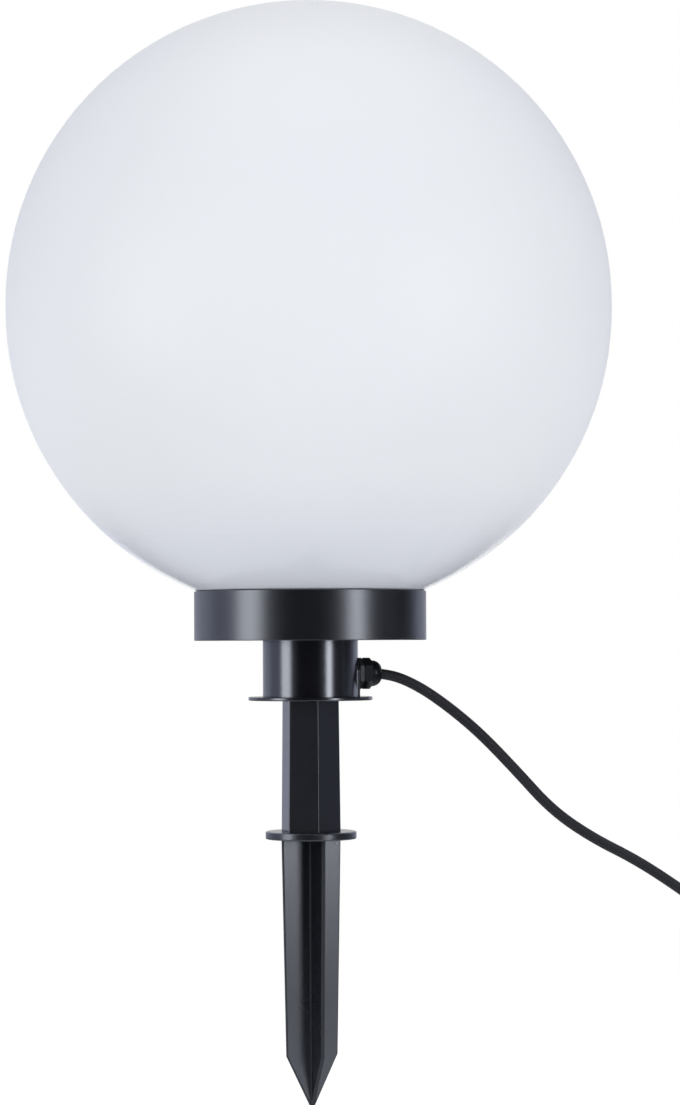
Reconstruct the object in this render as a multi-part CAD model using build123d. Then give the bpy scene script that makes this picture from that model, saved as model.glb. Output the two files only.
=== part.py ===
from build123d import *

import math
import os

# A garden spike light in millimetres. The origin is on the lamp's axis at the underside of the
# spike's flange, where the soil starts. Z is up, and -Y is the side that is looked at.

# Ground spike
SPIKE_FLANGE_DIAMETER = 60.0
SPIKE_FLANGE_HEIGHT = 5.0
SPIKE_FLANGE_ROUND = 1.0
BLADE_LENGTH = 176.0
BLADE_SHOULDER_DEPTH = 142.0
BLADE_TOP_REACH = 20.9
BLADE_LOW_REACH = 18.1
BLADE_TIP_REACH = 1.0
BLADE_RIB_THICKNESS = 2.4
BLADE_RIB_CHAMFER = 0.4
BLADE_ROOT_ROUND = 0.5
BLADE_TURN = 24.2
SPIKE_PEG_LENGTH = 36.0
SPIKE_PEG_WALL = 3.0
PEG_CLEARANCE = 0.25

# Extension post
POST_LENGTH = 86.2
POST_BOTTOM_RADIUS = 20.3
POST_TOP_RADIUS = 19.4
POST_WALL = 2.6
POST_ROOF = 3.0
POST_EDGE_ROUND = 0.8
POST_TURN = -15.3
POST_FLANGE_DIAMETER = 82.0
POST_FLANGE_HEIGHT = 2.4
POST_FLANGE_ROUND = 0.7
POST_PEG_DIAMETER = 21.6
POST_PEG_BORE = 16.6
POST_PEG_LENGTH = 26.0
KEY_WIDTH = 4.0
KEY_HEIGHT = 1.0

# Base housing: hub below, collar above
HUB_DIAMETER = 63.0
HUB_HEIGHT = 37.1
COLLAR_DIAMETER = 153.4
COLLAR_HEIGHT = 32.5
HOUSING_WALL = 2.6
HOUSING_RIM_ROUND = 1.0
COLLAR_EDGE_ROUND = 0.5
SOCKET_WALL = 2.4
SOCKET_END_ROOM = 5.0
BOSS_DIAMETER = 9.0
BOSS_HEIGHT = 8.0
BOSS_SPACING = 80.0
PILOT_DIAMETER = 3.2

# Globe and its quarter-turn thread in the collar
GLOBE_DIAMETER = 400.0
GLOBE_BELT = 3.0
GLOBE_WALL = 2.2
GLOBE_RIM_GAP = 0.3
NECK_GAP = 5.1
NECK_END_GAP = 4.7
THREAD_STARTS = 4
THREAD_LEAD = 24.0
THREAD_ARC = 44.0
THREAD_RIDGE = 2.0
THREAD_AXIAL_GAP = 0.3
THREAD_RADIAL_GAP = 0.5
THREAD_HEIGHT = 12.7
SEAL_HEIGHT = 4.0
SEAL_DEPTH = 9.0
SEAL_FIT = 0.05

# Cable gland on the hub's flat pad
GLAND_AXIS_HEIGHT = 15.1
GLAND_ANGLE = 14.0
PAD_REACH = 31.0
PAD_WIDTH = 22.0
PAD_WALL = 3.2
GLAND_FLATS = 18.0
GLAND_THREAD_DIAMETER = 15.8
GLAND_HOLE_CLEARANCE = 0.15
GLAND_BORE_DIAMETER = 10.6
GLAND_WASHER_HEIGHT = 1.0
GLAND_HEX_HEIGHT = 2.6
GLAND_NOSE_DIAMETER = 13.8
GLAND_NOSE_LENGTH = 5.0
LOCKNUT_HEIGHT = 4.5
LOCKNUT_RUNOUT = 0.7
CAP_GAP = 0.3
CAP_HEX_LENGTH = 6.3
CAP_DOME_LENGTH = 6.2
CAP_DOME_DIAMETER = 17.2
CAP_MOUTH_DIAMETER = 9.2
CAP_LIP = 0.9
CAP_CHAMFER = 1.0
CLAW_LENGTH = 3.7
CLAW_WALL = 1.9
CLAW_SLOTS = 6
CLAW_SLOT_WIDTH = 1.0
CLAW_CORD_GAP = 0.45
BUSH_LENGTH = 9.5

# Lampholder on its bracket
BRACKET_WIDTH = 18.0
BRACKET_LENGTH = 92.0
BRACKET_THICKNESS = 1.5
BRACKET_SCREW_DIAMETER = 4.0
SCREW_HEAD_DIAMETER = 7.6
SCREW_HEAD_HEIGHT = 2.4
SCREW_LENGTH = 8.0
NIPPLE_DIAMETER = 10.0
NIPPLE_BORE = 7.5
NIPPLE_BELOW = 5.0
NIPPLE_ABOVE = 8.0
NIPPLE_NUT_FLATS = 14.0
NIPPLE_NUT_HEIGHT = 3.0
HOLDER_BASE_DIAMETER = 42.0
HOLDER_BASE_HEIGHT = 14.0
HOLDER_HEIGHT = 44.0
HOLDER_TOP_DIAMETER = 36.0
HOLDER_WALL = 2.5
HOLDER_FLOOR = 3.0
HOLDER_PLATE = 3.0
HOLDER_PLATE_HEIGHT = 12.0
SHELL_BORE = 27.3
SHELL_WALL = 0.5
SHELL_HEIGHT = 25.0
SHELL_FLANGE_HEIGHT = 1.0
CONTACT_STRIP_WIDTH = 6.0
CONTACT_STRIP_THICKNESS = 0.8
CONTACT_RISE = 3.0
TERMINAL_LENGTH = 6.0
TERMINAL_WIDTH = 5.0
TERMINAL_HEIGHT = 6.5
TERMINAL_SPACING = 12.0
TERMINAL_REACH = 12.0

# Bulb
BULB_DIAMETER = 60.0
BULB_DOME_WALL = 1.5
BULB_HOUSING_LENGTH = 37.0
BULB_HOUSING_WALL = 2.0
BULB_NECK_DIAMETER = 27.8
BULB_CAP_DIAMETER = 26.4
BULB_CAP_LENGTH = 22.0
BULB_CAP_WALL = 0.6
BULB_INSULATOR_LENGTH = 3.5
BULB_INSULATOR_DIAMETER = 22.0
BULB_CONTACT_DIAMETER = 9.6
BULB_CONTACT_LENGTH = 1.5
BULB_CONTACT_GAP = 0.2
BULB_RIM_DROP = 9.0
BULB_BOARD_THICKNESS = 1.6

# Lead, coil, tie and plug
CORD_DIAMETER = 7.0
CORD_SEAT_GAP = 0.05
SHEATH_INSIDE = 2.0
LEAD_SEAT_DEPTH = 1.0
LEAD_EXIT_RUN = 14.4
LEAD_LAST_RUN = 15.0
TAIL_FLAT_RUN = 19.0
TAIL_SLOPE_RUN = 34.0
WIRE_DIAMETER = 2.4
WIRE_SPACING = 2.8
WIRE_BEND = 4.0
COIL_PITCH = 8.6
COIL_LAYERS = 4
COIL_HALF_TURNS = 5
COIL_MEAN_RADIUS = 37.5
COIL_CENTRE_X = 419.5
COIL_CENTRE_Y = -29.75
TIE_THICKNESS = 1.4
TIE_WIDTH = 6.0
TIE_GAP = 0.7
PLUG_WIDTH = 36.0
PLUG_THICKNESS = 24.0
PLUG_CORNER = 9.0
PLUG_BODY_LENGTH = 22.0
PLUG_SHOULDER_LENGTH = 20.0
PLUG_NECK = 15.0
PLUG_NECK_CORNER = 6.8
RELIEF_LENGTH = 30.0
RELIEF_TIP_DIAMETER = 9.2
RELIEF_ROOT_DIAMETER = 13.0
PIN_DIAMETER = 4.8
PIN_LENGTH = 19.0
PIN_SPACING = 19.0
PIN_ROUND = 1.8
ARC_SHARE = 0.45

# Levels, from the soil upwards
POST_BASE_Z = SPIKE_FLANGE_HEIGHT
POST_FLANGE_Z = POST_BASE_Z + POST_LENGTH
HUB_Z = POST_FLANGE_Z + POST_FLANGE_HEIGHT
COLLAR_Z = HUB_Z + HUB_HEIGHT
COLLAR_FLOOR_Z = COLLAR_Z + HOUSING_WALL
COLLAR_TOP_Z = COLLAR_Z + COLLAR_HEIGHT
BRACKET_Z = COLLAR_FLOOR_Z + BOSS_HEIGHT
HOLDER_Z = BRACKET_Z + BRACKET_THICKNESS
HOLDER_PLATE_Z = HOLDER_Z + HOLDER_PLATE_HEIGHT
SHELL_Z = HOLDER_PLATE_Z + HOLDER_PLATE
CONTACT_TOP_Z = SHELL_Z + CONTACT_RISE + CONTACT_STRIP_THICKNESS
BULB_Z = CONTACT_TOP_Z + BULB_CONTACT_GAP
BULB_INSULATOR_Z = BULB_Z + BULB_CONTACT_LENGTH
BULB_CAP_Z = BULB_INSULATOR_Z + BULB_INSULATOR_LENGTH
BULB_HOUSING_Z = BULB_CAP_Z + BULB_CAP_LENGTH
BULB_RIM_Z = BULB_HOUSING_Z + BULB_HOUSING_LENGTH
GROUND_Z = -BLADE_LENGTH

# Radii that pieces share
COLLAR_INNER = COLLAR_DIAMETER / 2 - HOUSING_WALL
NECK_OUTER = COLLAR_INNER - NECK_GAP
NECK_INNER = NECK_OUTER - GLOBE_WALL
SOCKET_INNER = POST_PEG_DIAMETER / 2 + PEG_CLEARANCE
SOCKET_OUTER = SOCKET_INNER + SOCKET_WALL
SOCKET_TOP_Z = HUB_Z + POST_PEG_LENGTH + SOCKET_END_ROOM
CORD_RADIUS = CORD_DIAMETER / 2
BORE_RADIUS = POST_TOP_RADIUS - POST_WALL / math.cos(math.radians(30))

# The globe rests over the collar's rounded rim
GLOBE_RADIUS = GLOBE_DIAMETER / 2
RIM_RADIUS = COLLAR_INNER + HOUSING_RIM_ROUND
GLOBE_LOW_Z = COLLAR_TOP_Z + GLOBE_RIM_GAP + math.sqrt(GLOBE_RADIUS**2 - RIM_RADIUS**2)
GLOBE_HIGH_Z = GLOBE_LOW_Z + GLOBE_BELT
NECK_END_Z = COLLAR_FLOOR_Z + NECK_END_GAP
THREAD_Z = COLLAR_FLOOR_Z + THREAD_HEIGHT

# Stations along the gland's axis, from the lamp's axis outwards
GLAND_Z = HUB_Z + GLAND_AXIS_HEIGHT
PAD_INNER = PAD_REACH - PAD_WALL
LOCKNUT_INNER = PAD_INNER - LOCKNUT_HEIGHT
THREAD_INNER = LOCKNUT_INNER - LOCKNUT_RUNOUT
GLAND_HEX_START = PAD_REACH + GLAND_WASHER_HEIGHT
GLAND_NOSE_START = GLAND_HEX_START + GLAND_HEX_HEIGHT
GLAND_NOSE_END = GLAND_NOSE_START + GLAND_NOSE_LENGTH
CAP_START = GLAND_NOSE_START + CAP_GAP
CAP_DOME_START = CAP_START + CAP_HEX_LENGTH
CAP_END = CAP_DOME_START + CAP_DOME_LENGTH
SHEATH_END = THREAD_INNER - SHEATH_INSIDE
LEAD_START = GLAND_NOSE_END - LEAD_SEAT_DEPTH

GLAND_OUT = Vector(math.cos(math.radians(GLAND_ANGLE)), math.sin(math.radians(GLAND_ANGLE)), 0)
GLAND_SIDE = Vector(-GLAND_OUT.Y, GLAND_OUT.X, 0)
GLAND_FRAME = Plane(origin=(0, 0, GLAND_Z), x_dir=(0, 0, 1), z_dir=GLAND_OUT)

# Coil: its lowest layer lies on the tie, and the tie on the ground
COIL_LOW_Z = GROUND_Z + TIE_THICKNESS + TIE_GAP + CORD_RADIUS
COIL_TOP_Z = COIL_LOW_Z + (COIL_LAYERS - 1) * COIL_PITCH
COIL_SPAN = COIL_HALF_TURNS * COIL_PITCH / 2
COIL_OUTER = COIL_MEAN_RADIUS + COIL_SPAN / 2
COIL_CENTRE = Vector(COIL_CENTRE_X, COIL_CENTRE_Y, 0)
COIL_OUT = Vector(0, 1, 0)
COIL_AHEAD = Vector(1, 0, 0)
PLUG_AXIS_Z = GROUND_Z + PLUG_THICKNESS / 2

# The lead's route: out of the gland, down in a slack S, and along the ground to the coil
LEAD_EXIT = GLAND_OUT * LEAD_START + Vector(0, 0, GLAND_Z)
LEAD_END = COIL_CENTRE + COIL_OUT * COIL_OUTER - COIL_AHEAD * CORD_DIAMETER + Vector(0, 0, COIL_LOW_Z)
LEAD_ROUTE = [
    LEAD_EXIT,
    LEAD_EXIT + GLAND_OUT * LEAD_EXIT_RUN,
    Vector(71.0, 17.4, 100.5),
    Vector(91.0, 21.4, 86.8),
    Vector(113.0, 24.6, 68.3),
    Vector(137.0, 27.0, 43.1),
    Vector(161.0, 28.4, 16.4),
    Vector(188.0, 29.0, -2.2),
    Vector(217.0, 28.6, -16.8),
    Vector(246.0, 27.5, -35.9),
    Vector(272.0, 26.0, -55.4),
    Vector(297.0, 24.2, -80.0),
    Vector(317.0, 22.4, -109.5),
    Vector(334.0, 20.8, -137.8),
    Vector(354.0, 19.6, -157.5),
    Vector(378.0, 18.8, -168.1),
    LEAD_END - COIL_AHEAD * LEAD_LAST_RUN,
    LEAD_END,
]

# The tail's route: off the coil's top layer and down to the plug
TAIL_START = COIL_CENTRE - COIL_OUT * COIL_OUTER - COIL_AHEAD * CORD_DIAMETER + Vector(0, 0, COIL_TOP_Z)
TAIL_DROP = Vector(0, 0, PLUG_AXIS_Z - COIL_TOP_Z)
TAIL_ROUTE = [
    TAIL_START,
    TAIL_START - COIL_AHEAD * TAIL_FLAT_RUN,
    TAIL_START - COIL_AHEAD * (TAIL_FLAT_RUN + TAIL_SLOPE_RUN) + TAIL_DROP,
    TAIL_START - COIL_AHEAD * (2 * TAIL_FLAT_RUN + TAIL_SLOPE_RUN) + TAIL_DROP,
]
PLUG_FRAME = Plane(origin=TAIL_ROUTE[-1], x_dir=(0, 1, 0), z_dir=-COIL_AHEAD)


def turned(*corners, rounds=()):
    """Body of revolution about Z from the (radius, height) corners of its half section."""
    section = make_face(Polyline(*[(r, 0, z) for r, z in corners], close=True))
    for corner, radius in rounds:
        at = Vector(corner[0], 0, corner[1])
        section = section.face().fillet_2d(radius, [section.vertices().sort_by_distance(at)[0]])
    return revolve(section, Axis.Z)


def hexagon_prism(flats, low, high, turn=0.0):
    """Six-sided prism along Z, from its size across flats."""
    corner_radius = flats / 2 / math.cos(math.radians(30))
    return extrude(Plane.XY.offset(low) * RegularPolygon(corner_radius, 6, rotation=turn), high - low)


def cord_path(name, route):
    """Straight runs joined by tangent arcs, each as large as its two runs allow."""
    radii = []
    for before, corner, after in zip(route, route[1:], route[2:]):
        turn = math.radians((corner - before).get_angle(after - corner))
        shorter = min((corner - before).length, (after - corner).length)
        radii.append(ARC_SHARE * shorter / math.tan(turn / 2))
    print(name, "arc radii", [round(radius, 1) for radius in radii])
    return FilletPolyline(*route, radius=radii)


def cord_tube(name, path, radius):
    """Tube along a path, with its volume compared with its section times its length."""
    section = Plane(origin=path @ 0, z_dir=path % 0) * Circle(radius)
    tube = sweep(section, path=path)
    share = tube.volume / (math.pi * radius**2 * path.length)
    print(name, "length", round(path.length, 1), "volume share", round(share, 5))
    return tube


def ground_spike():
    """Flange at the soil, cross-shaped blade below it and a hollow six-sided peg above it."""
    flange_radius = SPIKE_FLANGE_DIAMETER / 2
    flange = turned(
        (0, 0), (flange_radius, 0), (flange_radius, SPIKE_FLANGE_HEIGHT), (0, SPIKE_FLANGE_HEIGHT),
        rounds=[
            ((flange_radius, 0), SPIKE_FLANGE_ROUND),
            ((flange_radius, SPIKE_FLANGE_HEIGHT), SPIKE_FLANGE_ROUND),
        ],
    )
    half_outline = [
        (BLADE_TOP_REACH, 0),
        (BLADE_LOW_REACH, -BLADE_SHOULDER_DEPTH),
        (BLADE_TIP_REACH, -BLADE_LENGTH),
    ]
    outline = half_outline + [(-x, z) for x, z in reversed(half_outline)]
    profile = make_face(Polyline(*[(x, 0, z) for x, z in outline], close=True))
    taper = extrude(profile, BLADE_TOP_REACH, both=True)
    rib = Rectangle(2 * BLADE_TOP_REACH, BLADE_RIB_THICKNESS)
    cross = rib + Rot(0, 0, 90) * rib
    roots = [corner for corner in cross.vertices() if Vector(corner).length < BLADE_RIB_THICKNESS]
    web = Pos(0, 0, -BLADE_LENGTH) * extrude(fillet(roots, BLADE_ROOT_ROUND), BLADE_LENGTH)
    blade = web & taper & (Rot(0, 0, 90) * taper)
    rib_ends = [
        edge for edge in blade.edges()
        if edge.length > BLADE_SHOULDER_DEPTH / 8 and abs(edge.tangent_at(0.5).Z) > 0.5
        and max(abs((edge @ 0.5).X), abs((edge @ 0.5).Y)) > BLADE_LOW_REACH / 2
    ]
    blade = Rot(0, 0, BLADE_TURN) * chamfer(rib_ends, BLADE_RIB_CHAMFER)
    peg_flats = 2 * (BORE_RADIUS * math.cos(math.radians(30)) - PEG_CLEARANCE)
    peg_top = SPIKE_FLANGE_HEIGHT + SPIKE_PEG_LENGTH
    peg = hexagon_prism(peg_flats, 0, peg_top, POST_TURN)
    hollow = hexagon_prism(peg_flats - 2 * SPIKE_PEG_WALL, SPIKE_FLANGE_HEIGHT, peg_top, POST_TURN)
    return flange + blade + peg - hollow


def key_bar(reach, width, low, high):
    """Key opposite the gland that stops the head from turning on the post."""
    middle = GLAND_OUT * (-reach / 2)
    bar = Box(reach, width, high - low)
    return Pos(middle.X, middle.Y, (low + high) / 2) * Rot(0, 0, GLAND_ANGLE) * bar


def extension_post():
    """Six-sided tube, open below, with a flange and a keyed tubular peg on top."""
    foot = Plane.XY.offset(POST_BASE_Z) * RegularPolygon(POST_BOTTOM_RADIUS, 6, rotation=POST_TURN)
    head = Plane.XY.offset(POST_FLANGE_Z) * RegularPolygon(POST_TOP_RADIUS, 6, rotation=POST_TURN)
    column = loft([foot, head])
    upright = [edge for edge in column.edges() if abs(edge.tangent_at(0.5).Z) > 0.9]
    column = fillet(upright, POST_EDGE_ROUND)
    flange_radius = POST_FLANGE_DIAMETER / 2
    flange = turned(
        (0, POST_FLANGE_Z), (flange_radius, POST_FLANGE_Z), (flange_radius, HUB_Z), (0, HUB_Z),
        rounds=[
            ((flange_radius, POST_FLANGE_Z), POST_FLANGE_ROUND),
            ((flange_radius, HUB_Z), POST_FLANGE_ROUND),
        ],
    )
    peg_radius = POST_PEG_DIAMETER / 2
    peg_top = HUB_Z + POST_PEG_LENGTH
    peg = turned((0, HUB_Z), (peg_radius, HUB_Z), (peg_radius, peg_top), (0, peg_top))
    key = key_bar(peg_radius + KEY_HEIGHT, KEY_WIDTH, HUB_Z, peg_top)
    roof_z = POST_FLANGE_Z - POST_ROOF
    bore = hexagon_prism(2 * BORE_RADIUS * math.cos(math.radians(30)), POST_BASE_Z, roof_z, POST_TURN)
    vent = turned((0, roof_z), (POST_PEG_BORE / 2, roof_z), (POST_PEG_BORE / 2, peg_top), (0, peg_top))
    return column + flange + peg + key - bore - vent


def pad_outline(half_width, low):
    """Arched outline of the gland pad, in the gland's frame, with its foot at the given height."""
    arch_foot = low - GLAND_AXIS_HEIGHT
    return make_face(
        Polyline((0, half_width), (arch_foot, half_width), (arch_foot, -half_width), (0, -half_width))
        + ThreePointArc((0, -half_width), (half_width, 0), (0, half_width))
    )


def thread_ridges(inner, outer, z):
    """Short helical ridges of the globe's multi-start thread, spread round the axis."""
    middle = (inner + outer) / 2
    path = Helix(THREAD_LEAD, THREAD_LEAD * THREAD_ARC / 360, middle)
    start = Plane(origin=path @ 0, x_dir=(1, 0, 0), z_dir=path % 0)
    section = start * Rectangle(outer - inner, THREAD_RIDGE)
    ridge = Pos(0, 0, z) * sweep(section, path=path, is_frenet=True)
    return [Rot(0, 0, 360 / THREAD_STARTS * i) * ridge for i in range(THREAD_STARTS)]


def base_housing():
    """Collar and hub in one moulding, with the post's socket, gland pad, bosses and thread."""
    hub_radius = HUB_DIAMETER / 2
    hub_inner = hub_radius - HOUSING_WALL
    collar_radius = COLLAR_DIAMETER / 2
    plate_z = HUB_Z + HOUSING_WALL
    rim_outer = (collar_radius, COLLAR_TOP_Z)
    rim_inner = (COLLAR_INNER, COLLAR_TOP_Z)
    housing = turned(
        (0, SOCKET_TOP_Z), (SOCKET_INNER, SOCKET_TOP_Z), (SOCKET_INNER, HUB_Z), (hub_radius, HUB_Z),
        (hub_radius, COLLAR_Z), (collar_radius, COLLAR_Z), rim_outer, rim_inner,
        (COLLAR_INNER, COLLAR_FLOOR_Z), (hub_inner, COLLAR_FLOOR_Z), (hub_inner, plate_z),
        (SOCKET_OUTER, plate_z),
        (SOCKET_OUTER, SOCKET_TOP_Z + SOCKET_WALL), (0, SOCKET_TOP_Z + SOCKET_WALL),
        rounds=[(rim_outer, COLLAR_EDGE_ROUND), (rim_inner, HOUSING_RIM_ROUND),
                ((collar_radius, COLLAR_Z), COLLAR_EDGE_ROUND)],
    )
    keyway_reach = POST_PEG_DIAMETER / 2 + KEY_HEIGHT + PEG_CLEARANCE
    housing -= key_bar(keyway_reach, KEY_WIDTH + 2 * PEG_CLEARANCE, HUB_Z, SOCKET_TOP_Z)
    boss = Pos(0, 0, COLLAR_Z) * extrude(Circle(BOSS_DIAMETER / 2), HOUSING_WALL + BOSS_HEIGHT)
    pilot = Pos(0, 0, COLLAR_FLOOR_Z) * extrude(Circle(PILOT_DIAMETER / 2), BOSS_HEIGHT)
    for side in (-1, 1):
        at = Pos(GLAND_SIDE * (side * BOSS_SPACING / 2))
        housing = housing + at * boss - at * pilot
    thread_z = THREAD_Z + THREAD_RIDGE + THREAD_AXIAL_GAP
    housing += thread_ridges(NECK_OUTER + THREAD_RADIAL_GAP, COLLAR_INNER + HOUSING_WALL / 4, thread_z)
    outline = pad_outline(PAD_WIDTH / 2, 0)
    housing += GLAND_FRAME.offset(PAD_INNER) * extrude(outline, PAD_WALL)
    housing -= GLAND_FRAME.offset(PAD_REACH) * extrude(outline, HUB_DIAMETER / 2 - PAD_REACH + HOUSING_WALL)
    room = PAD_INNER - SOCKET_OUTER - SOCKET_WALL
    housing -= GLAND_FRAME.offset(PAD_INNER - room) * extrude(Circle(PAD_WIDTH / 2), room)
    hole = GLAND_THREAD_DIAMETER / 2 + GLAND_HOLE_CLEARANCE
    return housing - GLAND_FRAME.offset(PAD_INNER) * extrude(Circle(hole), PAD_WALL)


def meridian(radius, centre_z, up, start, end):
    """Arc of a ball's outline, through the point halfway up or down from its middle."""
    slant = radius * math.sqrt(0.5)
    return ThreePointArc(start, (slant, 0, centre_z + up * slant), end)


def globe():
    """Hollow ball with a straight belt at its middle, a neck below, and the neck's thread ridges."""
    inner = GLOBE_RADIUS - GLOBE_WALL
    outer_top = (0, 0, GLOBE_HIGH_Z + GLOBE_RADIUS)
    outer_high = (GLOBE_RADIUS, 0, GLOBE_HIGH_Z)
    outer_low = (GLOBE_RADIUS, 0, GLOBE_LOW_Z)
    outer_joint = (NECK_OUTER, 0, GLOBE_LOW_Z - math.sqrt(GLOBE_RADIUS**2 - NECK_OUTER**2))
    inner_joint = (NECK_INNER, 0, GLOBE_LOW_Z - math.sqrt(inner**2 - NECK_INNER**2))
    inner_low = (inner, 0, GLOBE_LOW_Z)
    inner_high = (inner, 0, GLOBE_HIGH_Z)
    inner_top = (0, 0, GLOBE_HIGH_Z + inner)
    outline = [
        meridian(GLOBE_RADIUS, GLOBE_HIGH_Z, 1, outer_top, outer_high),
        Line(outer_high, outer_low),
        meridian(GLOBE_RADIUS, GLOBE_LOW_Z, -1, outer_low, outer_joint),
        Polyline(outer_joint, (NECK_OUTER, 0, NECK_END_Z), (NECK_INNER, 0, NECK_END_Z), inner_joint),
        meridian(inner, GLOBE_LOW_Z, -1, inner_joint, inner_low),
        Line(inner_low, inner_high),
        meridian(inner, GLOBE_HIGH_Z, 1, inner_high, inner_top),
        Line(inner_top, outer_top),
    ]
    ball = revolve(make_face(outline), Axis.Z)
    ridges = thread_ridges(NECK_OUTER - GLOBE_WALL / 4, COLLAR_INNER - THREAD_RADIAL_GAP, THREAD_Z)
    return ball + ridges


def neck_seal():
    """Rubber ring round the neck, just under the collar's rim."""
    inner = NECK_OUTER + SEAL_FIT
    outer = COLLAR_INNER - THREAD_RADIAL_GAP
    low = COLLAR_TOP_Z - SEAL_DEPTH
    high = low + SEAL_HEIGHT
    corners = [(inner, low), (outer, low), (outer, high), (inner, high)]
    return turned(*corners, rounds=[(corner, SEAL_HEIGHT / 4) for corner in corners[1:3]])


def gland_washer():
    """Flat rubber ring between the gland's hexagon and the pad."""
    inner = GLAND_THREAD_DIAMETER / 2 + CORD_SEAT_GAP
    ring = Circle(GLAND_FLATS / 2) - Circle(inner)
    return GLAND_FRAME.offset(PAD_REACH) * extrude(ring, GLAND_WASHER_HEIGHT)


def gland_body():
    """Threaded shank through the hub's wall, hexagon against it, and the nose that the cap screws on."""
    thread = GLAND_THREAD_DIAMETER / 2
    nose = GLAND_NOSE_DIAMETER / 2
    bore = GLAND_BORE_DIAMETER / 2
    shank = turned(
        (bore, THREAD_INNER), (thread, THREAD_INNER), (thread, GLAND_HEX_START), (nose, GLAND_HEX_START),
        (nose, GLAND_NOSE_END), (bore, GLAND_NOSE_END),
    )
    hexagon = hexagon_prism(GLAND_FLATS, GLAND_HEX_START, GLAND_NOSE_START)
    hole = Plane.XY.offset(GLAND_HEX_START) * extrude(Circle(bore), GLAND_HEX_HEIGHT)
    return GLAND_FRAME * (shank + (hexagon - hole))


def gland_locknut():
    """Hexagon nut inside the hub that clamps the gland to the pad."""
    nut = hexagon_prism(GLAND_FLATS, LOCKNUT_INNER, PAD_INNER)
    hole = Circle(GLAND_THREAD_DIAMETER / 2 + CORD_SEAT_GAP)
    return GLAND_FRAME * (nut - Plane.XY.offset(LOCKNUT_INNER) * extrude(hole, LOCKNUT_HEIGHT))


def gland_bush():
    """Rubber sleeve squeezed round the lead inside the gland."""
    ring = Circle(GLAND_BORE_DIAMETER / 2 - CORD_SEAT_GAP) - Circle(CORD_RADIUS + CORD_SEAT_GAP)
    return GLAND_FRAME.offset(GLAND_NOSE_END - BUSH_LENGTH) * extrude(ring, BUSH_LENGTH)


def claw_inner_radius():
    """The claw ring stays clear of the lead by more than the bush does."""
    return CORD_RADIUS + CLAW_CORD_GAP


def gland_claw():
    """Slotted ring that the cap presses onto the bush."""
    start = GLAND_NOSE_END + CAP_GAP
    inner = claw_inner_radius()
    outer = inner + CLAW_WALL
    waist = start + CLAW_LENGTH / 2
    end = start + CLAW_LENGTH
    nose = inner + CLAW_WALL / 3
    ring = turned((inner, start), (outer, start), (outer, waist), (nose, end), (inner, end))
    slot = Pos(outer / 2, 0, (waist + end) / 2) * Box(outer, CLAW_SLOT_WIDTH, end - waist)
    for i in range(CLAW_SLOTS):
        ring -= Rot(0, 0, 360 / CLAW_SLOTS * i) * slot
    return GLAND_FRAME * ring


def gland_cap():
    """Domed cap nut, with a flared mouth where the lead comes out."""
    corner = GLAND_FLATS / 2 / math.cos(math.radians(30))
    dome_radius = CAP_DOME_DIAMETER / 2
    mouth = CAP_MOUTH_DIAMETER / 2
    blank = turned(
        (0, CAP_START), (corner - CAP_CHAMFER, CAP_START), (corner, CAP_START + CAP_CHAMFER / 2),
        (corner, CAP_DOME_START - CAP_CHAMFER), (dome_radius, CAP_DOME_START), (0, CAP_DOME_START),
    )
    nut = hexagon_prism(GLAND_FLATS, CAP_START, CAP_DOME_START) & blank
    lip = (mouth + CAP_LIP, 0, CAP_END)
    bulge = (dome_radius - CAP_LIP / 2, 0, CAP_DOME_START + CAP_DOME_LENGTH / 2)
    shoulder = (dome_radius, 0, CAP_DOME_START)
    dome_face = make_face(
        Polyline(lip, (0, 0, CAP_END), (0, 0, CAP_DOME_START), shoulder)
        + ThreePointArc(shoulder, bulge, lip)
    )
    nose_room = GLAND_NOSE_DIAMETER / 2 + CAP_GAP
    nose_end = GLAND_NOSE_END + CAP_GAP
    claw_end = nose_end + CLAW_LENGTH
    claw_room = claw_inner_radius() + CLAW_WALL + CAP_GAP
    hollow = turned(
        (0, CAP_START), (nose_room, CAP_START), (nose_room, nose_end),
        (claw_room, nose_end + CLAW_LENGTH / 2), (mouth, claw_end + CAP_GAP), (mouth, CAP_END), (0, CAP_END),
    )
    return GLAND_FRAME * (nut + revolve(dome_face, Axis.Z) - hollow)


def holder_bracket():
    """Steel strap across the hub's opening, on the two bosses."""
    strap = SlotOverall(BRACKET_LENGTH, BRACKET_WIDTH)
    holes = Circle(NIPPLE_DIAMETER / 2 + CORD_SEAT_GAP)
    screw_hole = Circle(BRACKET_SCREW_DIAMETER / 2 + PEG_CLEARANCE)
    holes += [Pos(side * BOSS_SPACING / 2, 0) * screw_hole for side in (-1, 1)]
    flat = extrude(strap - holes, BRACKET_THICKNESS)
    return Pos(0, 0, BRACKET_Z) * Rot(0, 0, GLAND_ANGLE + 90) * flat


def bracket_screws():
    """The two screws that hold the bracket on the bosses."""
    tip_z = HOLDER_Z - SCREW_LENGTH
    head_z = HOLDER_Z + SCREW_HEAD_HEIGHT
    shank = PILOT_DIAMETER / 2 - CORD_SEAT_GAP
    neck = BRACKET_SCREW_DIAMETER / 2
    head = SCREW_HEAD_DIAMETER / 2
    screw = turned(
        (0, tip_z), (shank, tip_z), (shank, BRACKET_Z), (neck, BRACKET_Z), (neck, HOLDER_Z),
        (head, HOLDER_Z), (head, head_z), (0, head_z), rounds=[((head, head_z), SCREW_HEAD_HEIGHT / 2)],
    )
    return [Pos(GLAND_SIDE * (side * BOSS_SPACING / 2)) * screw for side in (-1, 1)]


def holder_nipple():
    """Threaded tube that clamps the lampholder to the bracket."""
    ring = Circle(NIPPLE_DIAMETER / 2) - Circle(NIPPLE_BORE / 2)
    length = NIPPLE_BELOW + BRACKET_THICKNESS + NIPPLE_ABOVE
    return Pos(0, 0, BRACKET_Z - NIPPLE_BELOW) * extrude(ring, length)


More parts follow.
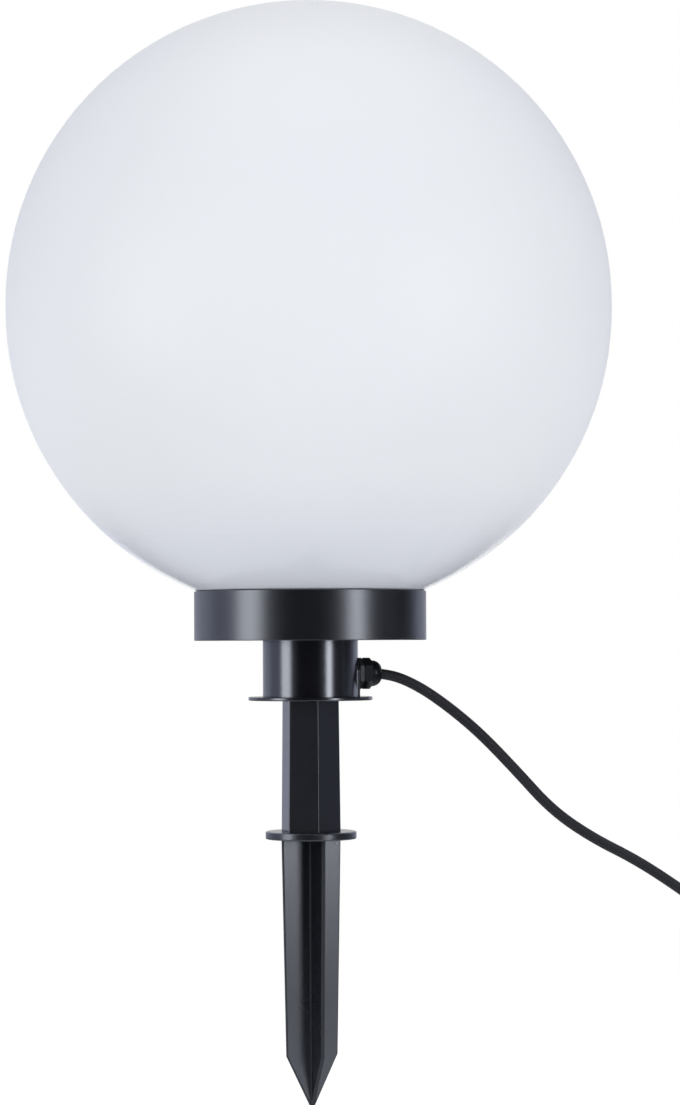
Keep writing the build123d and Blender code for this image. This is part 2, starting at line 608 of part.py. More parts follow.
def nipple_nut():
    """Nut under the bracket."""
    nut = hexagon_prism(NIPPLE_NUT_FLATS, BRACKET_Z - NIPPLE_NUT_HEIGHT, BRACKET_Z)
    hole = Circle(NIPPLE_DIAMETER / 2 + CORD_SEAT_GAP)
    return nut - Pos(0, 0, BRACKET_Z - NIPPLE_NUT_HEIGHT) * extrude(hole, NIPPLE_NUT_HEIGHT)


def terminal_place(side):
    """Where a terminal stands, seen from above."""
    return GLAND_OUT * TERMINAL_REACH + GLAND_SIDE * (side * TERMINAL_SPACING / 2)


def holder_body():
    """Moulded lampholder: a chamber for the terminals below, the shell's well above."""
    base = HOLDER_BASE_DIAMETER / 2
    top = HOLDER_TOP_DIAMETER / 2
    base_top = HOLDER_Z + HOLDER_BASE_HEIGHT
    top_z = HOLDER_Z + HOLDER_HEIGHT
    floor_z = HOLDER_Z + HOLDER_FLOOR
    well = SHELL_BORE / 2 + SHELL_WALL + PEG_CLEARANCE
    chamber = base - HOLDER_WALL
    nipple = NIPPLE_DIAMETER / 2 + CORD_SEAT_GAP
    plate_hole = CONTACT_STRIP_WIDTH / 4
    body = turned(
        (nipple, HOLDER_Z), (base, HOLDER_Z), (base, base_top), (top, base_top + HOLDER_WALL), (top, top_z),
        (well, top_z), (well, SHELL_Z), (plate_hole, SHELL_Z), (plate_hole, HOLDER_PLATE_Z),
        (chamber, HOLDER_PLATE_Z), (chamber, floor_z), (nipple, floor_z),
        rounds=[((base, HOLDER_Z), HOLDER_WALL / 2)],
    )
    for side in (-1, 1):
        hole = Pos(0, 0, HOLDER_Z) * extrude(Circle(WIRE_DIAMETER / 2 + PEG_CLEARANCE), HOLDER_FLOOR)
        body -= Pos(terminal_place(side)) * hole
    return body


def holder_shell():
    """Threaded metal shell, shown plain, on the lampholder's plate."""
    bore = SHELL_BORE / 2
    outer = bore + SHELL_WALL
    lip = bore - HOLDER_WALL
    top = SHELL_Z + SHELL_HEIGHT
    return turned(
        (lip, SHELL_Z), (outer, SHELL_Z), (outer, top), (bore, top), (bore, SHELL_Z + SHELL_FLANGE_HEIGHT),
        (lip, SHELL_Z + SHELL_FLANGE_HEIGHT),
    )


def centre_contact():
    """Sprung strip that meets the bulb's foot."""
    half_width = CONTACT_STRIP_WIDTH / 2
    thick = CONTACT_STRIP_THICKNESS
    foot = SHELL_BORE / 2 - 2 * HOLDER_WALL
    rise_start = -half_width - CONTACT_RISE
    strip = make_face(Polyline(
        (-foot, 0), (rise_start, 0), (-half_width, CONTACT_RISE), (half_width, CONTACT_RISE),
        (half_width, CONTACT_RISE + thick), (-half_width - thick / 2, CONTACT_RISE + thick),
        (rise_start - thick / 2, thick), (-foot, thick), close=True,
    ))
    return Pos(0, 0, SHELL_Z) * extrude(Plane.XZ * strip, half_width, both=True)


def holder_terminals():
    """Two brass blocks under the plate, each with a blind hole for its wire."""
    block = extrude(Rectangle(TERMINAL_WIDTH, TERMINAL_LENGTH), TERMINAL_HEIGHT)
    block -= extrude(Circle(WIRE_DIAMETER / 2 + CORD_SEAT_GAP), TERMINAL_HEIGHT / 2)
    turn = Pos(0, 0, HOLDER_PLATE_Z - TERMINAL_HEIGHT) * Rot(0, 0, GLAND_ANGLE)
    return [Pos(terminal_place(side)) * turn * block for side in (-1, 1)]


def wire(name, side):
    """One insulated wire from the sheath's end, up past the socket and into its terminal."""
    aside = GLAND_SIDE * (side * WIRE_SPACING / 2)
    start = GLAND_OUT * SHEATH_END + aside
    rise = GLAND_OUT * (SOCKET_OUTER + WIRE_DIAMETER / 2 + PEG_CLEARANCE) + aside
    place = terminal_place(side)
    terminal_z = HOLDER_PLATE_Z - TERMINAL_HEIGHT / 2
    route = [
        start + Vector(0, 0, GLAND_Z),
        rise + Vector(0, 0, GLAND_Z),
        rise + Vector(0, 0, SOCKET_TOP_Z + SOCKET_WALL),
        place + Vector(0, 0, BRACKET_Z - NIPPLE_BELOW),
        place + Vector(0, 0, terminal_z),
    ]
    return cord_tube(name, FilletPolyline(*route, radius=WIRE_BEND), WIRE_DIAMETER / 2)


def bulb_rim_radius():
    """Radius where the dome meets the housing."""
    return math.sqrt((BULB_DIAMETER / 2) ** 2 - BULB_RIM_DROP**2)


def bulb_dome():
    """Opal dome of the bulb, a bit more than half a ball."""
    radius = BULB_DIAMETER / 2
    inner = radius - BULB_DOME_WALL
    centre = BULB_RIM_Z + BULB_RIM_DROP
    inner_rim = math.sqrt(inner**2 - BULB_RIM_DROP**2)
    outline = [
        ThreePointArc((bulb_rim_radius(), 0, BULB_RIM_Z), (radius, 0, centre), (0, 0, centre + radius)),
        Line((0, 0, centre + radius), (0, 0, centre + inner)),
        ThreePointArc((0, 0, centre + inner), (inner, 0, centre), (inner_rim, 0, BULB_RIM_Z)),
        Line((inner_rim, 0, BULB_RIM_Z), (bulb_rim_radius(), 0, BULB_RIM_Z)),
    ]
    return revolve(make_face(outline), Axis.Z)


def bulb_housing():
    """Tapered plastic housing between the screw cap and the dome, with a seat for the board."""
    neck = BULB_NECK_DIAMETER / 2
    rim = bulb_rim_radius()
    wall = BULB_HOUSING_WALL
    return turned(
        (neck - wall, BULB_HOUSING_Z), (neck, BULB_HOUSING_Z), (rim, BULB_RIM_Z),
        (rim - wall, BULB_RIM_Z), (rim - wall, BULB_RIM_Z - BULB_BOARD_THICKNESS),
        (rim - 2 * wall, BULB_RIM_Z - BULB_BOARD_THICKNESS),
    )


def bulb_board():
    """Round board that carries the light sources."""
    radius = bulb_rim_radius() - BULB_HOUSING_WALL - CORD_SEAT_GAP
    return Pos(0, 0, BULB_RIM_Z - BULB_BOARD_THICKNESS) * extrude(Circle(radius), BULB_BOARD_THICKNESS)


def bulb_cap():
    """Screw cap, shown plain, closed at the bottom over the insulator."""
    radius = BULB_CAP_DIAMETER / 2
    inner = radius - BULB_CAP_WALL
    lip = BULB_INSULATOR_DIAMETER / 2
    floor_z = BULB_CAP_Z + BULB_CAP_WALL
    return turned(
        (lip, BULB_CAP_Z), (radius, BULB_CAP_Z), (radius, BULB_HOUSING_Z), (inner, BULB_HOUSING_Z),
        (inner, floor_z), (lip, floor_z), rounds=[((radius, BULB_CAP_Z), BULB_CAP_WALL / 2)],
    )


def bulb_insulator():
    """Black glass cone between the cap and its foot contact."""
    foot = BULB_CONTACT_DIAMETER / 2
    top = BULB_INSULATOR_DIAMETER / 2
    top_z = BULB_CAP_Z + BULB_CAP_WALL
    return turned(
        (0, BULB_INSULATOR_Z), (foot, BULB_INSULATOR_Z), (top, BULB_CAP_Z), (top, top_z), (0, top_z)
    )


def bulb_contact():
    """Foot contact of the bulb."""
    radius = BULB_CONTACT_DIAMETER / 2
    return turned(
        (0, BULB_Z), (radius, BULB_Z), (radius, BULB_INSULATOR_Z), (0, BULB_INSULATOR_Z),
        rounds=[((radius, BULB_Z), BULB_CONTACT_LENGTH / 2)],
    )


def cord_inner():
    """End of the lead's sheath, through the gland and into the hub."""
    return GLAND_FRAME.offset(SHEATH_END) * extrude(Circle(CORD_RADIUS), LEAD_START - SHEATH_END)


def coil_keys():
    """Points at each half turn of the coil: in and out by turns, a layer higher at each reversal."""
    keys = []
    for layer in range(COIL_LAYERS):
        for step in range(COIL_HALF_TURNS + 1):
            shrink = step if layer % 2 == 0 else COIL_HALF_TURNS - step
            side = 1 if len(keys) % 2 == 0 else -1
            radius = COIL_OUTER - shrink * COIL_PITCH / 2
            height = Vector(0, 0, COIL_LOW_Z + layer * COIL_PITCH)
            keys.append((COIL_CENTRE + COIL_OUT * (side * radius) + height, COIL_AHEAD * side))
    return keys


def coil_gap(path):
    """Least clear distance between turns of the coil, measured on points along its path."""
    spacing = CORD_RADIUS
    count = int(path.length / spacing)
    points = [tuple(path @ (i / count)) for i in range(count + 1)]
    apart = math.ceil(4 * CORD_DIAMETER / spacing)
    nearest = min(
        math.dist(a, b) for i, a in enumerate(points) for b in points[i + apart:]
    )
    return nearest - CORD_DIAMETER


def cord_coil():
    """Put-away length of the lead, wound in layers as one unbroken tube."""
    keys = coil_keys()
    first, first_ahead = keys[0]
    last, last_ahead = keys[-1]
    edges = [Line(first - first_ahead * CORD_DIAMETER, first)]
    for (start, ahead), (end, _) in zip(keys, keys[1:]):
        edges.append(ThreePointArc(start, (start + end) / 2 + ahead * ((end - start).length / 2), end))
    edges.append(Line(last, last + last_ahead * CORD_DIAMETER))
    path = Wire([edge.edge() for edge in edges])
    print("cord_coil least gap", round(coil_gap(path), 3))
    return cord_tube("cord_coil", path, CORD_RADIUS)


def cord_tie():
    """Strap round the coil's bundle, on the side away from the lamp."""
    turns = math.ceil(COIL_HALF_TURNS / 2)
    width = (turns - 1) * COIL_PITCH + CORD_DIAMETER + 2 * TIE_GAP
    height = (COIL_LAYERS - 1) * COIL_PITCH + CORD_DIAMETER + 2 * TIE_GAP
    corner = CORD_RADIUS + TIE_GAP
    outer = RectangleRounded(width + 2 * TIE_THICKNESS, height + 2 * TIE_THICKNESS, corner + TIE_THICKNESS)
    band = extrude(Plane.XZ * (outer - RectangleRounded(width, height, corner)), TIE_WIDTH / 2, both=True)
    return Pos(COIL_CENTRE_X + COIL_MEAN_RADIUS, COIL_CENTRE_Y, (COIL_LOW_Z + COIL_TOP_Z) / 2) * band


def plug_body():
    """Moulded two-pin plug, lying flat, with its tapered strain relief."""
    tip = RELIEF_TIP_DIAMETER / 2
    root = RELIEF_ROOT_DIAMETER / 2
    relief = turned((0, 0), (tip, 0), (root, RELIEF_LENGTH), (0, RELIEF_LENGTH))
    neck = Plane.XY.offset(RELIEF_LENGTH) * RectangleRounded(PLUG_NECK, PLUG_NECK, PLUG_NECK_CORNER)
    shoulder_z = RELIEF_LENGTH + PLUG_SHOULDER_LENGTH
    full = Plane.XY.offset(shoulder_z) * RectangleRounded(PLUG_WIDTH, PLUG_THICKNESS, PLUG_CORNER)
    body = loft([neck, full]) + extrude(full, PLUG_BODY_LENGTH)
    return PLUG_FRAME * (relief + body)


def plug_pins():
    """The two round pins, at right angles to the plug's face."""
    face_z = RELIEF_LENGTH + PLUG_SHOULDER_LENGTH + PLUG_BODY_LENGTH
    radius = PIN_DIAMETER / 2
    tip_z = face_z + PIN_LENGTH
    pin = turned(
        (0, face_z), (radius, face_z), (radius, tip_z), (0, tip_z), rounds=[((radius, tip_z), PIN_ROUND)]
    )
    return [PLUG_FRAME * Pos(side * PIN_SPACING / 2, 0, 0) * pin for side in (-1, 1)]


nodes = {
    "ground_spike": ground_spike(),
    "extension_post": extension_post(),
    "base_housing": base_housing(),
    "globe": globe(),
    "neck_seal": neck_seal(),
    "gland_washer": gland_washer(),
    "gland_body": gland_body(),
    "gland_locknut": gland_locknut(),
    "gland_bush": gland_bush(),
    "gland_claw": gland_claw(),
    "gland_cap": gland_cap(),
    "holder_bracket": holder_bracket(),
    "bracket_screws": bracket_screws(),
    "holder_nipple": holder_nipple(),
    "nipple_nut": nipple_nut(),
    "holder_body": holder_body(),
    "holder_shell": holder_shell(),
    "centre_contact": centre_contact(),
    "holder_terminals": holder_terminals(),
    "wire_live": wire("wire_live", -1),
    "wire_neutral": wire("wire_neutral", 1),
    "bulb_dome": bulb_dome(),
    "bulb_housing": bulb_housing(),
    "bulb_board": bulb_board(),
    "bulb_cap": bulb_cap(),
    "bulb_insulator": bulb_insulator(),
    "bulb_contact": bulb_contact(),
    "cord_inner": cord_inner(),
    "cord_lead": cord_tube("cord_lead", cord_path("cord_lead", LEAD_ROUTE), CORD_RADIUS),
    "cord_coil": cord_coil(),
    "cord_tie": cord_tie(),
    "cord_tail": cord_tube("cord_tail", cord_path("cord_tail", TAIL_ROUTE), CORD_RADIUS),
    "plug_body": plug_body(),
    "plug_pins": plug_pins(),
}

os.makedirs("parts", exist_ok=True)
for name, shape in nodes.items():
    solid = Compound(children=list(shape)) if isinstance(shape, list) else shape
    export_step(solid, f"parts/{name}.step")
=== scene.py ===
import math

import bmesh
import bpy
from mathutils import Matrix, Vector


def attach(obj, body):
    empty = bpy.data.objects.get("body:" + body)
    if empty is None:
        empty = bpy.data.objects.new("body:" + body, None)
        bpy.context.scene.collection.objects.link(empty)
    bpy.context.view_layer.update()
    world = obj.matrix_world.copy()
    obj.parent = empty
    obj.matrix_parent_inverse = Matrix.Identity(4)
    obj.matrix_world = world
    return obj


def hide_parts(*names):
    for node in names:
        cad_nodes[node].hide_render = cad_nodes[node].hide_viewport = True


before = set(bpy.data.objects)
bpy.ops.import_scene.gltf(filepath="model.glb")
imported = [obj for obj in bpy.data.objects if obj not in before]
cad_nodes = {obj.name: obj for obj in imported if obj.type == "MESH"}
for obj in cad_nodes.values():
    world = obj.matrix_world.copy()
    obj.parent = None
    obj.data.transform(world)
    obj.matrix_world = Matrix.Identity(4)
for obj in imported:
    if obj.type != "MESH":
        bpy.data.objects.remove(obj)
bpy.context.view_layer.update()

# Camera: a long lens two metres away, level with the collar's underside and tipped up a little.
# The picture is 680 by 1105 pixels, and the lens is about 3000 of them long.
PICTURE_HEIGHT = 1105
LENS_PIXELS = 3000
SENSOR = 36.0
CAMERA_PLACE = (0.0196, -1.983, 0.1288)
CAMERA_TILT = 91.73
CAMERA_ROLL = 0.25
VIEW_DEPTH = 60.0
camera_data = bpy.data.cameras.new("camera")
camera_data.sensor_width = SENSOR
camera_data.lens = SENSOR * LENS_PIXELS / PICTURE_HEIGHT
camera_data.clip_end = VIEW_DEPTH
camera = bpy.data.objects.new("camera", camera_data)
camera.location = CAMERA_PLACE
camera.rotation_euler = (math.radians(CAMERA_TILT), math.radians(CAMERA_ROLL), 0.0)
bpy.context.scene.collection.objects.link(camera)
bpy.context.scene.camera = camera
bpy.context.scene.view_settings.view_transform = "Standard"


# Lead: 3.2 m of round rubber cord. It leaves the gland, hangs in a slack S to the ground, and what
# the picture doesn't show is wound in four flat layers, with the plug lying beside them.
CORD_RADIUS = 0.0035
CORD_ROUND_STEPS = 5
CORD_RUN_STEPS = 6
LEAD_POINTS = [
    (0.03745, 0.00934, 0.1087), (0.05143, 0.01282, 0.1087), (0.071, 0.0174, 0.1005),
    (0.091, 0.0214, 0.0868), (0.113, 0.0246, 0.0683), (0.137, 0.027, 0.0431),
    (0.161, 0.0284, 0.0164), (0.188, 0.029, -0.0022), (0.217, 0.0286, -0.0168),
    (0.246, 0.0275, -0.0359), (0.272, 0.026, -0.0554), (0.297, 0.0242, -0.08),
    (0.317, 0.0224, -0.1095), (0.334, 0.0208, -0.1378), (0.354, 0.0196, -0.1575),
    (0.378, 0.0188, -0.1681), (0.3975, 0.0185, -0.1704), (0.4125, 0.0185, -0.1704),
]
TAIL_POINTS = [
    (0.4125, -0.078, -0.1446), (0.3935, -0.078, -0.1446),
    (0.3595, -0.078, -0.164), (0.3385, -0.078, -0.164),
]
COIL_CENTRE = Vector((0.4195, -0.02975, 0.0))
COIL_OUTER = 0.04825
COIL_PITCH = 0.0086
COIL_LOW = -0.1704
COIL_LAYERS = 4
COIL_HALF_TURNS = 5
POINTS_A_HALF_TURN = 9


def coil_points():
    """Points of the wound layers: inwards and outwards by turns, a layer up at each reversal."""
    keys = []
    for layer in range(COIL_LAYERS):
        for step in range(COIL_HALF_TURNS + 1):
            shrink = step if layer % 2 == 0 else COIL_HALF_TURNS - step
            side = 1 if len(keys) % 2 == 0 else -1
            reach = side * (COIL_OUTER - shrink * COIL_PITCH / 2)
            keys.append((COIL_CENTRE + Vector((0, reach, COIL_LOW + layer * COIL_PITCH)), side))
    points = []
    for (start, side), (end, _) in zip(keys, keys[1:]):
        middle = (start + end) / 2
        ahead = Vector((side * (end - start).length / 2, 0, 0))
        for k in range(POINTS_A_HALF_TURN):
            turn = math.pi * k / POINTS_A_HALF_TURN
            points.append(middle + (start - middle) * math.cos(turn) + ahead * math.sin(turn))
    return points + [keys[-1][0]]


def smooth_curve(name, points, radius):
    """One open smooth spline through a row of control points, thickened to a round cord."""
    data = bpy.data.curves.new(name, "CURVE")
    data.dimensions = "3D"
    data.bevel_depth = radius
    data.bevel_resolution = CORD_ROUND_STEPS
    data.resolution_u = CORD_RUN_STEPS
    data.use_fill_caps = True
    spline = data.splines.new("NURBS")
    spline.points.add(len(points) - 1)
    for point, place in zip(spline.points, points):
        point.co = (*place, 1.0)
    spline.order_u = 3
    spline.use_endpoint_u = True
    cord = bpy.data.objects.new(name, data)
    bpy.context.scene.collection.objects.link(cord)
    return cord


def start_group(name, inputs, outputs):
    """Empty shader group with named value sockets; returns the tree and its two end nodes."""
    tree = bpy.data.node_groups.new(name, "ShaderNodeTree")
    for label, value in inputs.items():
        socket = tree.interface.new_socket(label, in_out="INPUT", socket_type="NodeSocketFloat")
        socket.default_value = value
    for label in outputs:
        tree.interface.new_socket(label, in_out="OUTPUT", socket_type="NodeSocketFloat")
    return tree, tree.nodes.new("NodeGroupInput"), tree.nodes.new("NodeGroupOutput")


def math_node(tree, operation, first, second):
    """Math node on two sockets or numbers; returns its output."""
    node = tree.nodes.new("ShaderNodeMath")
    node.operation = operation
    for socket, value in zip(node.inputs, (first, second)):
        if isinstance(value, (int, float)):
            socket.default_value = value
        else:
            tree.links.new(value, socket)
    return node.outputs[0]


def ramp(tree, value, start, end, low=0.0, high=1.0, smooth=False):
    """Value that goes from low to high while another goes from start to end."""
    node = tree.nodes.new("ShaderNodeMapRange")
    if smooth:
        node.interpolation_type = "SMOOTHSTEP"
    for label, number in zip(("From Min", "From Max", "To Min", "To Max"), (start, end, low, high)):
        node.inputs[label].default_value = number
    tree.links.new(value, node.inputs["Value"])
    return node.outputs["Result"]


def grain_group():
    """Fine skin of a moulded surface, and slow drifts of tone and gloss across it."""
    tree, ins, outs = start_group(
        "moulded_grain", {"Grain Scale": 1800.0, "Drift Scale": 9.0}, ["Height", "Grain", "Drift"])
    place = tree.nodes.new("ShaderNodeTexCoord")
    fine = tree.nodes.new("ShaderNodeTexNoise")
    fine.inputs["Detail"].default_value = 3.0
    fine.inputs["Roughness"].default_value = 0.6
    tree.links.new(place.outputs["Object"], fine.inputs["Vector"])
    tree.links.new(ins.outputs["Grain Scale"], fine.inputs["Scale"])
    slow = tree.nodes.new("ShaderNodeTexNoise")
    slow.inputs["Detail"].default_value = 4.0
    tree.links.new(place.outputs["Object"], slow.inputs["Vector"])
    tree.links.new(ins.outputs["Drift Scale"], slow.inputs["Scale"])
    tree.links.new(fine.outputs["Fac"], outs.inputs["Height"])
    spread = ramp(tree, fine.outputs["Fac"], start=0.35, end=0.65)
    tree.links.new(spread, outs.inputs["Grain"])
    tree.links.new(slow.outputs["Fac"], outs.inputs["Drift"])
    return tree


def edge_group():
    """Mask of the rounded-over edges, broken up a little, from how the surface turns near them."""
    tree, ins, outs = start_group(
        "edge_wear_and_highlight", {"Radius": 0.0006, "Breakup Scale": 300.0}, ["Edge"])
    turned = tree.nodes.new("ShaderNodeBevel")
    turned.samples = 4
    tree.links.new(ins.outputs["Radius"], turned.inputs["Radius"])
    here = tree.nodes.new("ShaderNodeNewGeometry")
    dot = tree.nodes.new("ShaderNodeVectorMath")
    dot.operation = "DOT_PRODUCT"
    tree.links.new(turned.outputs["Normal"], dot.inputs[0])
    tree.links.new(here.outputs["Normal"], dot.inputs[1])
    turn = math_node(tree, "SUBTRACT", 1.0, dot.outputs["Value"])
    rounded = ramp(tree, turn, start=0.02, end=0.25)
    place = tree.nodes.new("ShaderNodeTexCoord")
    broken = tree.nodes.new("ShaderNodeTexNoise")
    tree.links.new(place.outputs["Object"], broken.inputs["Vector"])
    tree.links.new(ins.outputs["Breakup Scale"], broken.inputs["Scale"])
    edge = math_node(tree, "MULTIPLY", rounded, broken.outputs["Fac"])
    tree.links.new(edge, outs.inputs["Edge"])
    return tree


moulded_grain = grain_group()
edge_wear_and_highlight = edge_group()


class Finish:
    """A material under construction: its node tree, its shader, and shorthand for wiring them."""

    def __init__(self, name, roughness=0.5, metallic=0.0, specular=0.5):
        self.material = bpy.data.materials.new(name)
        self.material.use_nodes = True
        self.tree = self.material.node_tree
        self.shader = self.tree.nodes["Principled BSDF"]
        self.shader.inputs["Roughness"].default_value = roughness
        self.shader.inputs["Metallic"].default_value = metallic
        self.shader.inputs["Specular IOR Level"].default_value = specular

    def set(self, label, value):
        """Sets one of the shader's own values, the same all over."""
        self.shader.inputs[label].default_value = value

    def group(self, tree, **values):
        """Places a shared effect in the material, with its own values."""
        node = self.tree.nodes.new("ShaderNodeGroup")
        node.node_tree = tree
        for label, value in values.items():
            node.inputs[label.replace("_", " ")].default_value = value
        return node

    def blend(self, factor, first, second):
        """Colour that goes from first to second with a factor; each is a colour or a socket."""
        node = self.tree.nodes.new("ShaderNodeMix")
        node.data_type = "RGBA"
        self.tree.links.new(factor, node.inputs["Factor"])
        for socket, value in ((node.inputs["A"], first), (node.inputs["B"], second)):
            self.plug(value, socket)
        return node.outputs["Result"]

    def span(self, factor, low, high):
        """Value that goes from low to high with a factor from 0 to 1."""
        return ramp(self.tree, factor, start=0.0, end=1.0, low=low, high=high)

    def plug(self, value, socket):
        """Gives a socket a colour, or links another socket to it."""
        if isinstance(value, tuple):
            socket.default_value = (*value, 1.0) if len(value) == 3 else value
        else:
            self.tree.links.new(value, socket)

    def bump(self, height, distance, strength):
        """Fine relief of the skin, from a height that goes from 0 to 1."""
        node = self.tree.nodes.new("ShaderNodeBump")
        node.inputs["Distance"].default_value = distance
        node.inputs["Strength"].default_value = strength
        self.tree.links.new(height, node.inputs["Height"])
        self.tree.links.new(node.outputs["Normal"], self.shader.inputs["Normal"])

    def colour(self, value):
        """Colour of the surface, plain or from a socket."""
        self.plug(value, self.shader.inputs["Base Color"])

    def rough(self, value):
        """Roughness of the surface, from a socket."""
        self.plug(value, self.shader.inputs["Roughness"])


def rubber_finish(name, colour, worn, roughness, grain_scale):
    """Matt rubber: a fine dull grain, slightly lighter where it has been handled."""
    finish = Finish(name, specular=0.35)
    finish.set("Specular Tint", (0.82, 0.85, 1.0, 1.0))
    grain = finish.group(moulded_grain, Grain_Scale=grain_scale, Drift_Scale=25.0)
    finish.colour(finish.blend(grain.outputs["Drift"], colour, worn))
    finish.rough(finish.span(grain.outputs["Drift"], roughness - 0.06, roughness + 0.08))
    finish.bump(grain.outputs["Height"], distance=0.00004, strength=0.35)
    return finish.material


lead_rubber = rubber_finish(
    "lead_rubber", colour=(0.012, 0.012, 0.014), worn=(0.024, 0.024, 0.028),
    roughness=0.52, grain_scale=1500.0)
lead = smooth_curve("lead", LEAD_POINTS + coil_points() + TAIL_POINTS, CORD_RADIUS)
lead.data.materials.append(lead_rubber)
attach(lead, "head")
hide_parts("cord_lead", "cord_coil", "cord_tail")


# Studio: a white floor at the spike's tip and a white surround, lit by soft lights from both sides,
# above, in front and low behind. A ring of curtains, a black flag on the right and a round mat
# under the lamp are there only for its reflections.
FLOOR_LEVEL = -0.176
FLOOR_RADIUS = 9.0
FLOOR_WHITE = (0.9, 0.9, 0.9, 1.0)
FLOOR_SHADE = (0.4, 0.4, 0.4, 1.0)
FLOOR_GLOW = 0.76
FLOOR_NEAR = 0.25
FLOOR_FAR = 1.3
AMBIENT = 0.54


def camera_sees(tree):
    """1 for rays from the camera, and for what is seen in gloss or through clear material."""
    path = tree.nodes.new("ShaderNodeLightPath")
    seen = math_node(tree, "MAXIMUM", path.outputs["Is Camera Ray"], path.outputs["Is Glossy Ray"])
    return math_node(tree, "MAXIMUM", seen, path.outputs["Is Transmission Ray"])


def from_middle(tree):
    """Distance of a place on a disc from the disc's middle."""
    place = tree.nodes.new("ShaderNodeTexCoord")
    reach = tree.nodes.new("ShaderNodeVectorMath")
    reach.operation = "LENGTH"
    tree.links.new(place.outputs["Object"], reach.inputs[0])
    return reach.outputs["Value"]


def add_disc(name, radius, sides, height):
    """Flat disc of the studio, lying round the lamp's axis at a height."""
    bpy.ops.object.select_all(action="DESELECT")
    bpy.ops.mesh.primitive_circle_add(
        vertices=sides, radius=radius, fill_type="NGON", location=(0.0, 0.0, height))
    disc = bpy.context.object
    disc.name = name
    return disc


world = bpy.data.worlds.new("surround")
bpy.context.scene.world = world
world.use_nodes = True
sky = world.node_tree.nodes["Background"]
sky.inputs["Color"].default_value = (1.0, 1.0, 1.0, 1.0)
sky_strength = ramp(
    world.node_tree, camera_sees(world.node_tree), start=0.0, end=1.0, low=AMBIENT, high=1.0)
world.node_tree.links.new(sky_strength, sky.inputs["Strength"])

floor = add_disc("floor", radius=FLOOR_RADIUS, sides=96, height=FLOOR_LEVEL)
floor_paint = bpy.data.materials.new("floor_paint")
floor_paint.use_nodes = True
floor_tree = floor_paint.node_tree
floor_tree.nodes.remove(floor_tree.nodes["Principled BSDF"])
matt = floor_tree.nodes.new("ShaderNodeBsdfDiffuse")
matt.inputs["Color"].default_value = FLOOR_WHITE
shaded = floor_tree.nodes.new("ShaderNodeBsdfDiffuse")
shaded.inputs["Color"].default_value = FLOOR_SHADE
lit = floor_tree.nodes.new("ShaderNodeEmission")
lit.inputs["Strength"].default_value = FLOOR_GLOW
near_floor = floor_tree.nodes.new("ShaderNodeAddShader")
floor_tree.links.new(shaded.outputs[0], near_floor.inputs[0])
floor_tree.links.new(lit.outputs[0], near_floor.inputs[1])
white = floor_tree.nodes.new("ShaderNodeEmission")
far = ramp(floor_tree, from_middle(floor_tree), start=FLOOR_NEAR, end=FLOOR_FAR, smooth=True)
seen_floor = floor_tree.nodes.new("ShaderNodeMixShader")
floor_tree.links.new(far, seen_floor.inputs[0])
floor_tree.links.new(near_floor.outputs[0], seen_floor.inputs[1])
floor_tree.links.new(white.outputs[0], seen_floor.inputs[2])
floor_mix = floor_tree.nodes.new("ShaderNodeMixShader")
floor_tree.links.new(camera_sees(floor_tree), floor_mix.inputs[0])
floor_tree.links.new(matt.outputs[0], floor_mix.inputs[1])
floor_tree.links.new(seen_floor.outputs[0], floor_mix.inputs[2])
floor_tree.links.new(floor_mix.outputs[0], floor_tree.nodes["Material Output"].inputs["Surface"])
floor.data.materials.append(floor_paint)


def soft_light(name, azimuth, distance, height, width, tall, power):
    """Upright soft light, placed by its angle round the lamp, rightwards from the camera's side."""
    data = bpy.data.lights.new(name, "AREA")
    data.shape = "RECTANGLE"
    data.size = width
    data.size_y = tall
    data.energy = power
    light = bpy.data.objects.new(name, data)
    turn = math.radians(azimuth)
    light.location = (distance * math.sin(turn), -distance * math.cos(turn), height)
    light.rotation_euler = (math.radians(90), 0.0, turn)
    light.visible_camera = False
    bpy.context.scene.collection.objects.link(light)
    return light


FILL_TILT = 66.0
BOUNCE_TILT = 118.0
soft_light("left_light", azimuth=-60.0, distance=1.6, height=0.25, width=0.66, tall=0.9, power=4.7)
soft_light("right_light", azimuth=46.0, distance=1.6, height=0.3, width=0.38, tall=0.81, power=4.95)
overhead = soft_light(
    "top_light", azimuth=0.0, distance=0.2, height=2.6, width=2.0, tall=2.0, power=10.4)
overhead.rotation_euler = (0.0, 0.0, 0.0)
fill = soft_light(
    "front_fill", azimuth=2.0, distance=2.6, height=1.5, width=1.6, tall=1.2, power=14.2)
fill.rotation_euler.x = math.radians(FILL_TILT)
fill.visible_glossy = False
for name, azimuth in (("left_bounce", -125.0), ("right_bounce", 125.0)):
    bounce = soft_light(
        name, azimuth, distance=0.75, height=-0.11, width=0.5, tall=0.12, power=1.3)
    bounce.rotation_euler.x = math.radians(BOUNCE_TILT)
    bounce.visible_glossy = False

CURTAIN_RADIUS = 2.4
CURTAIN_HEIGHT = 3.2
CURTAIN_LIFT = 0.002
CURTAIN_CUTS = 31
CURTAIN_TINT = (0.78, 0.82, 1.0)
FLAG_PLACE = (0.62, 0.12, 0.285)
FLAG_SIZE = (0.002, 0.28, 0.35)
FLAG_BLACK = (0.02, 0.02, 0.025)
MAT_RADIUS = 1.6
MAT_LIFT = 0.001
MAT_MIDDLE = (0.85, 0.87, 0.9)
MAT_PALE = 0.05
MAT_DARK = 0.8


def seen_in_gloss(card):
    """Keeps a card of the studio out of the picture and the light, except for reflections."""
    card.visible_camera = False
    card.visible_diffuse = False
    card.visible_transmission = False
    card.visible_shadow = False


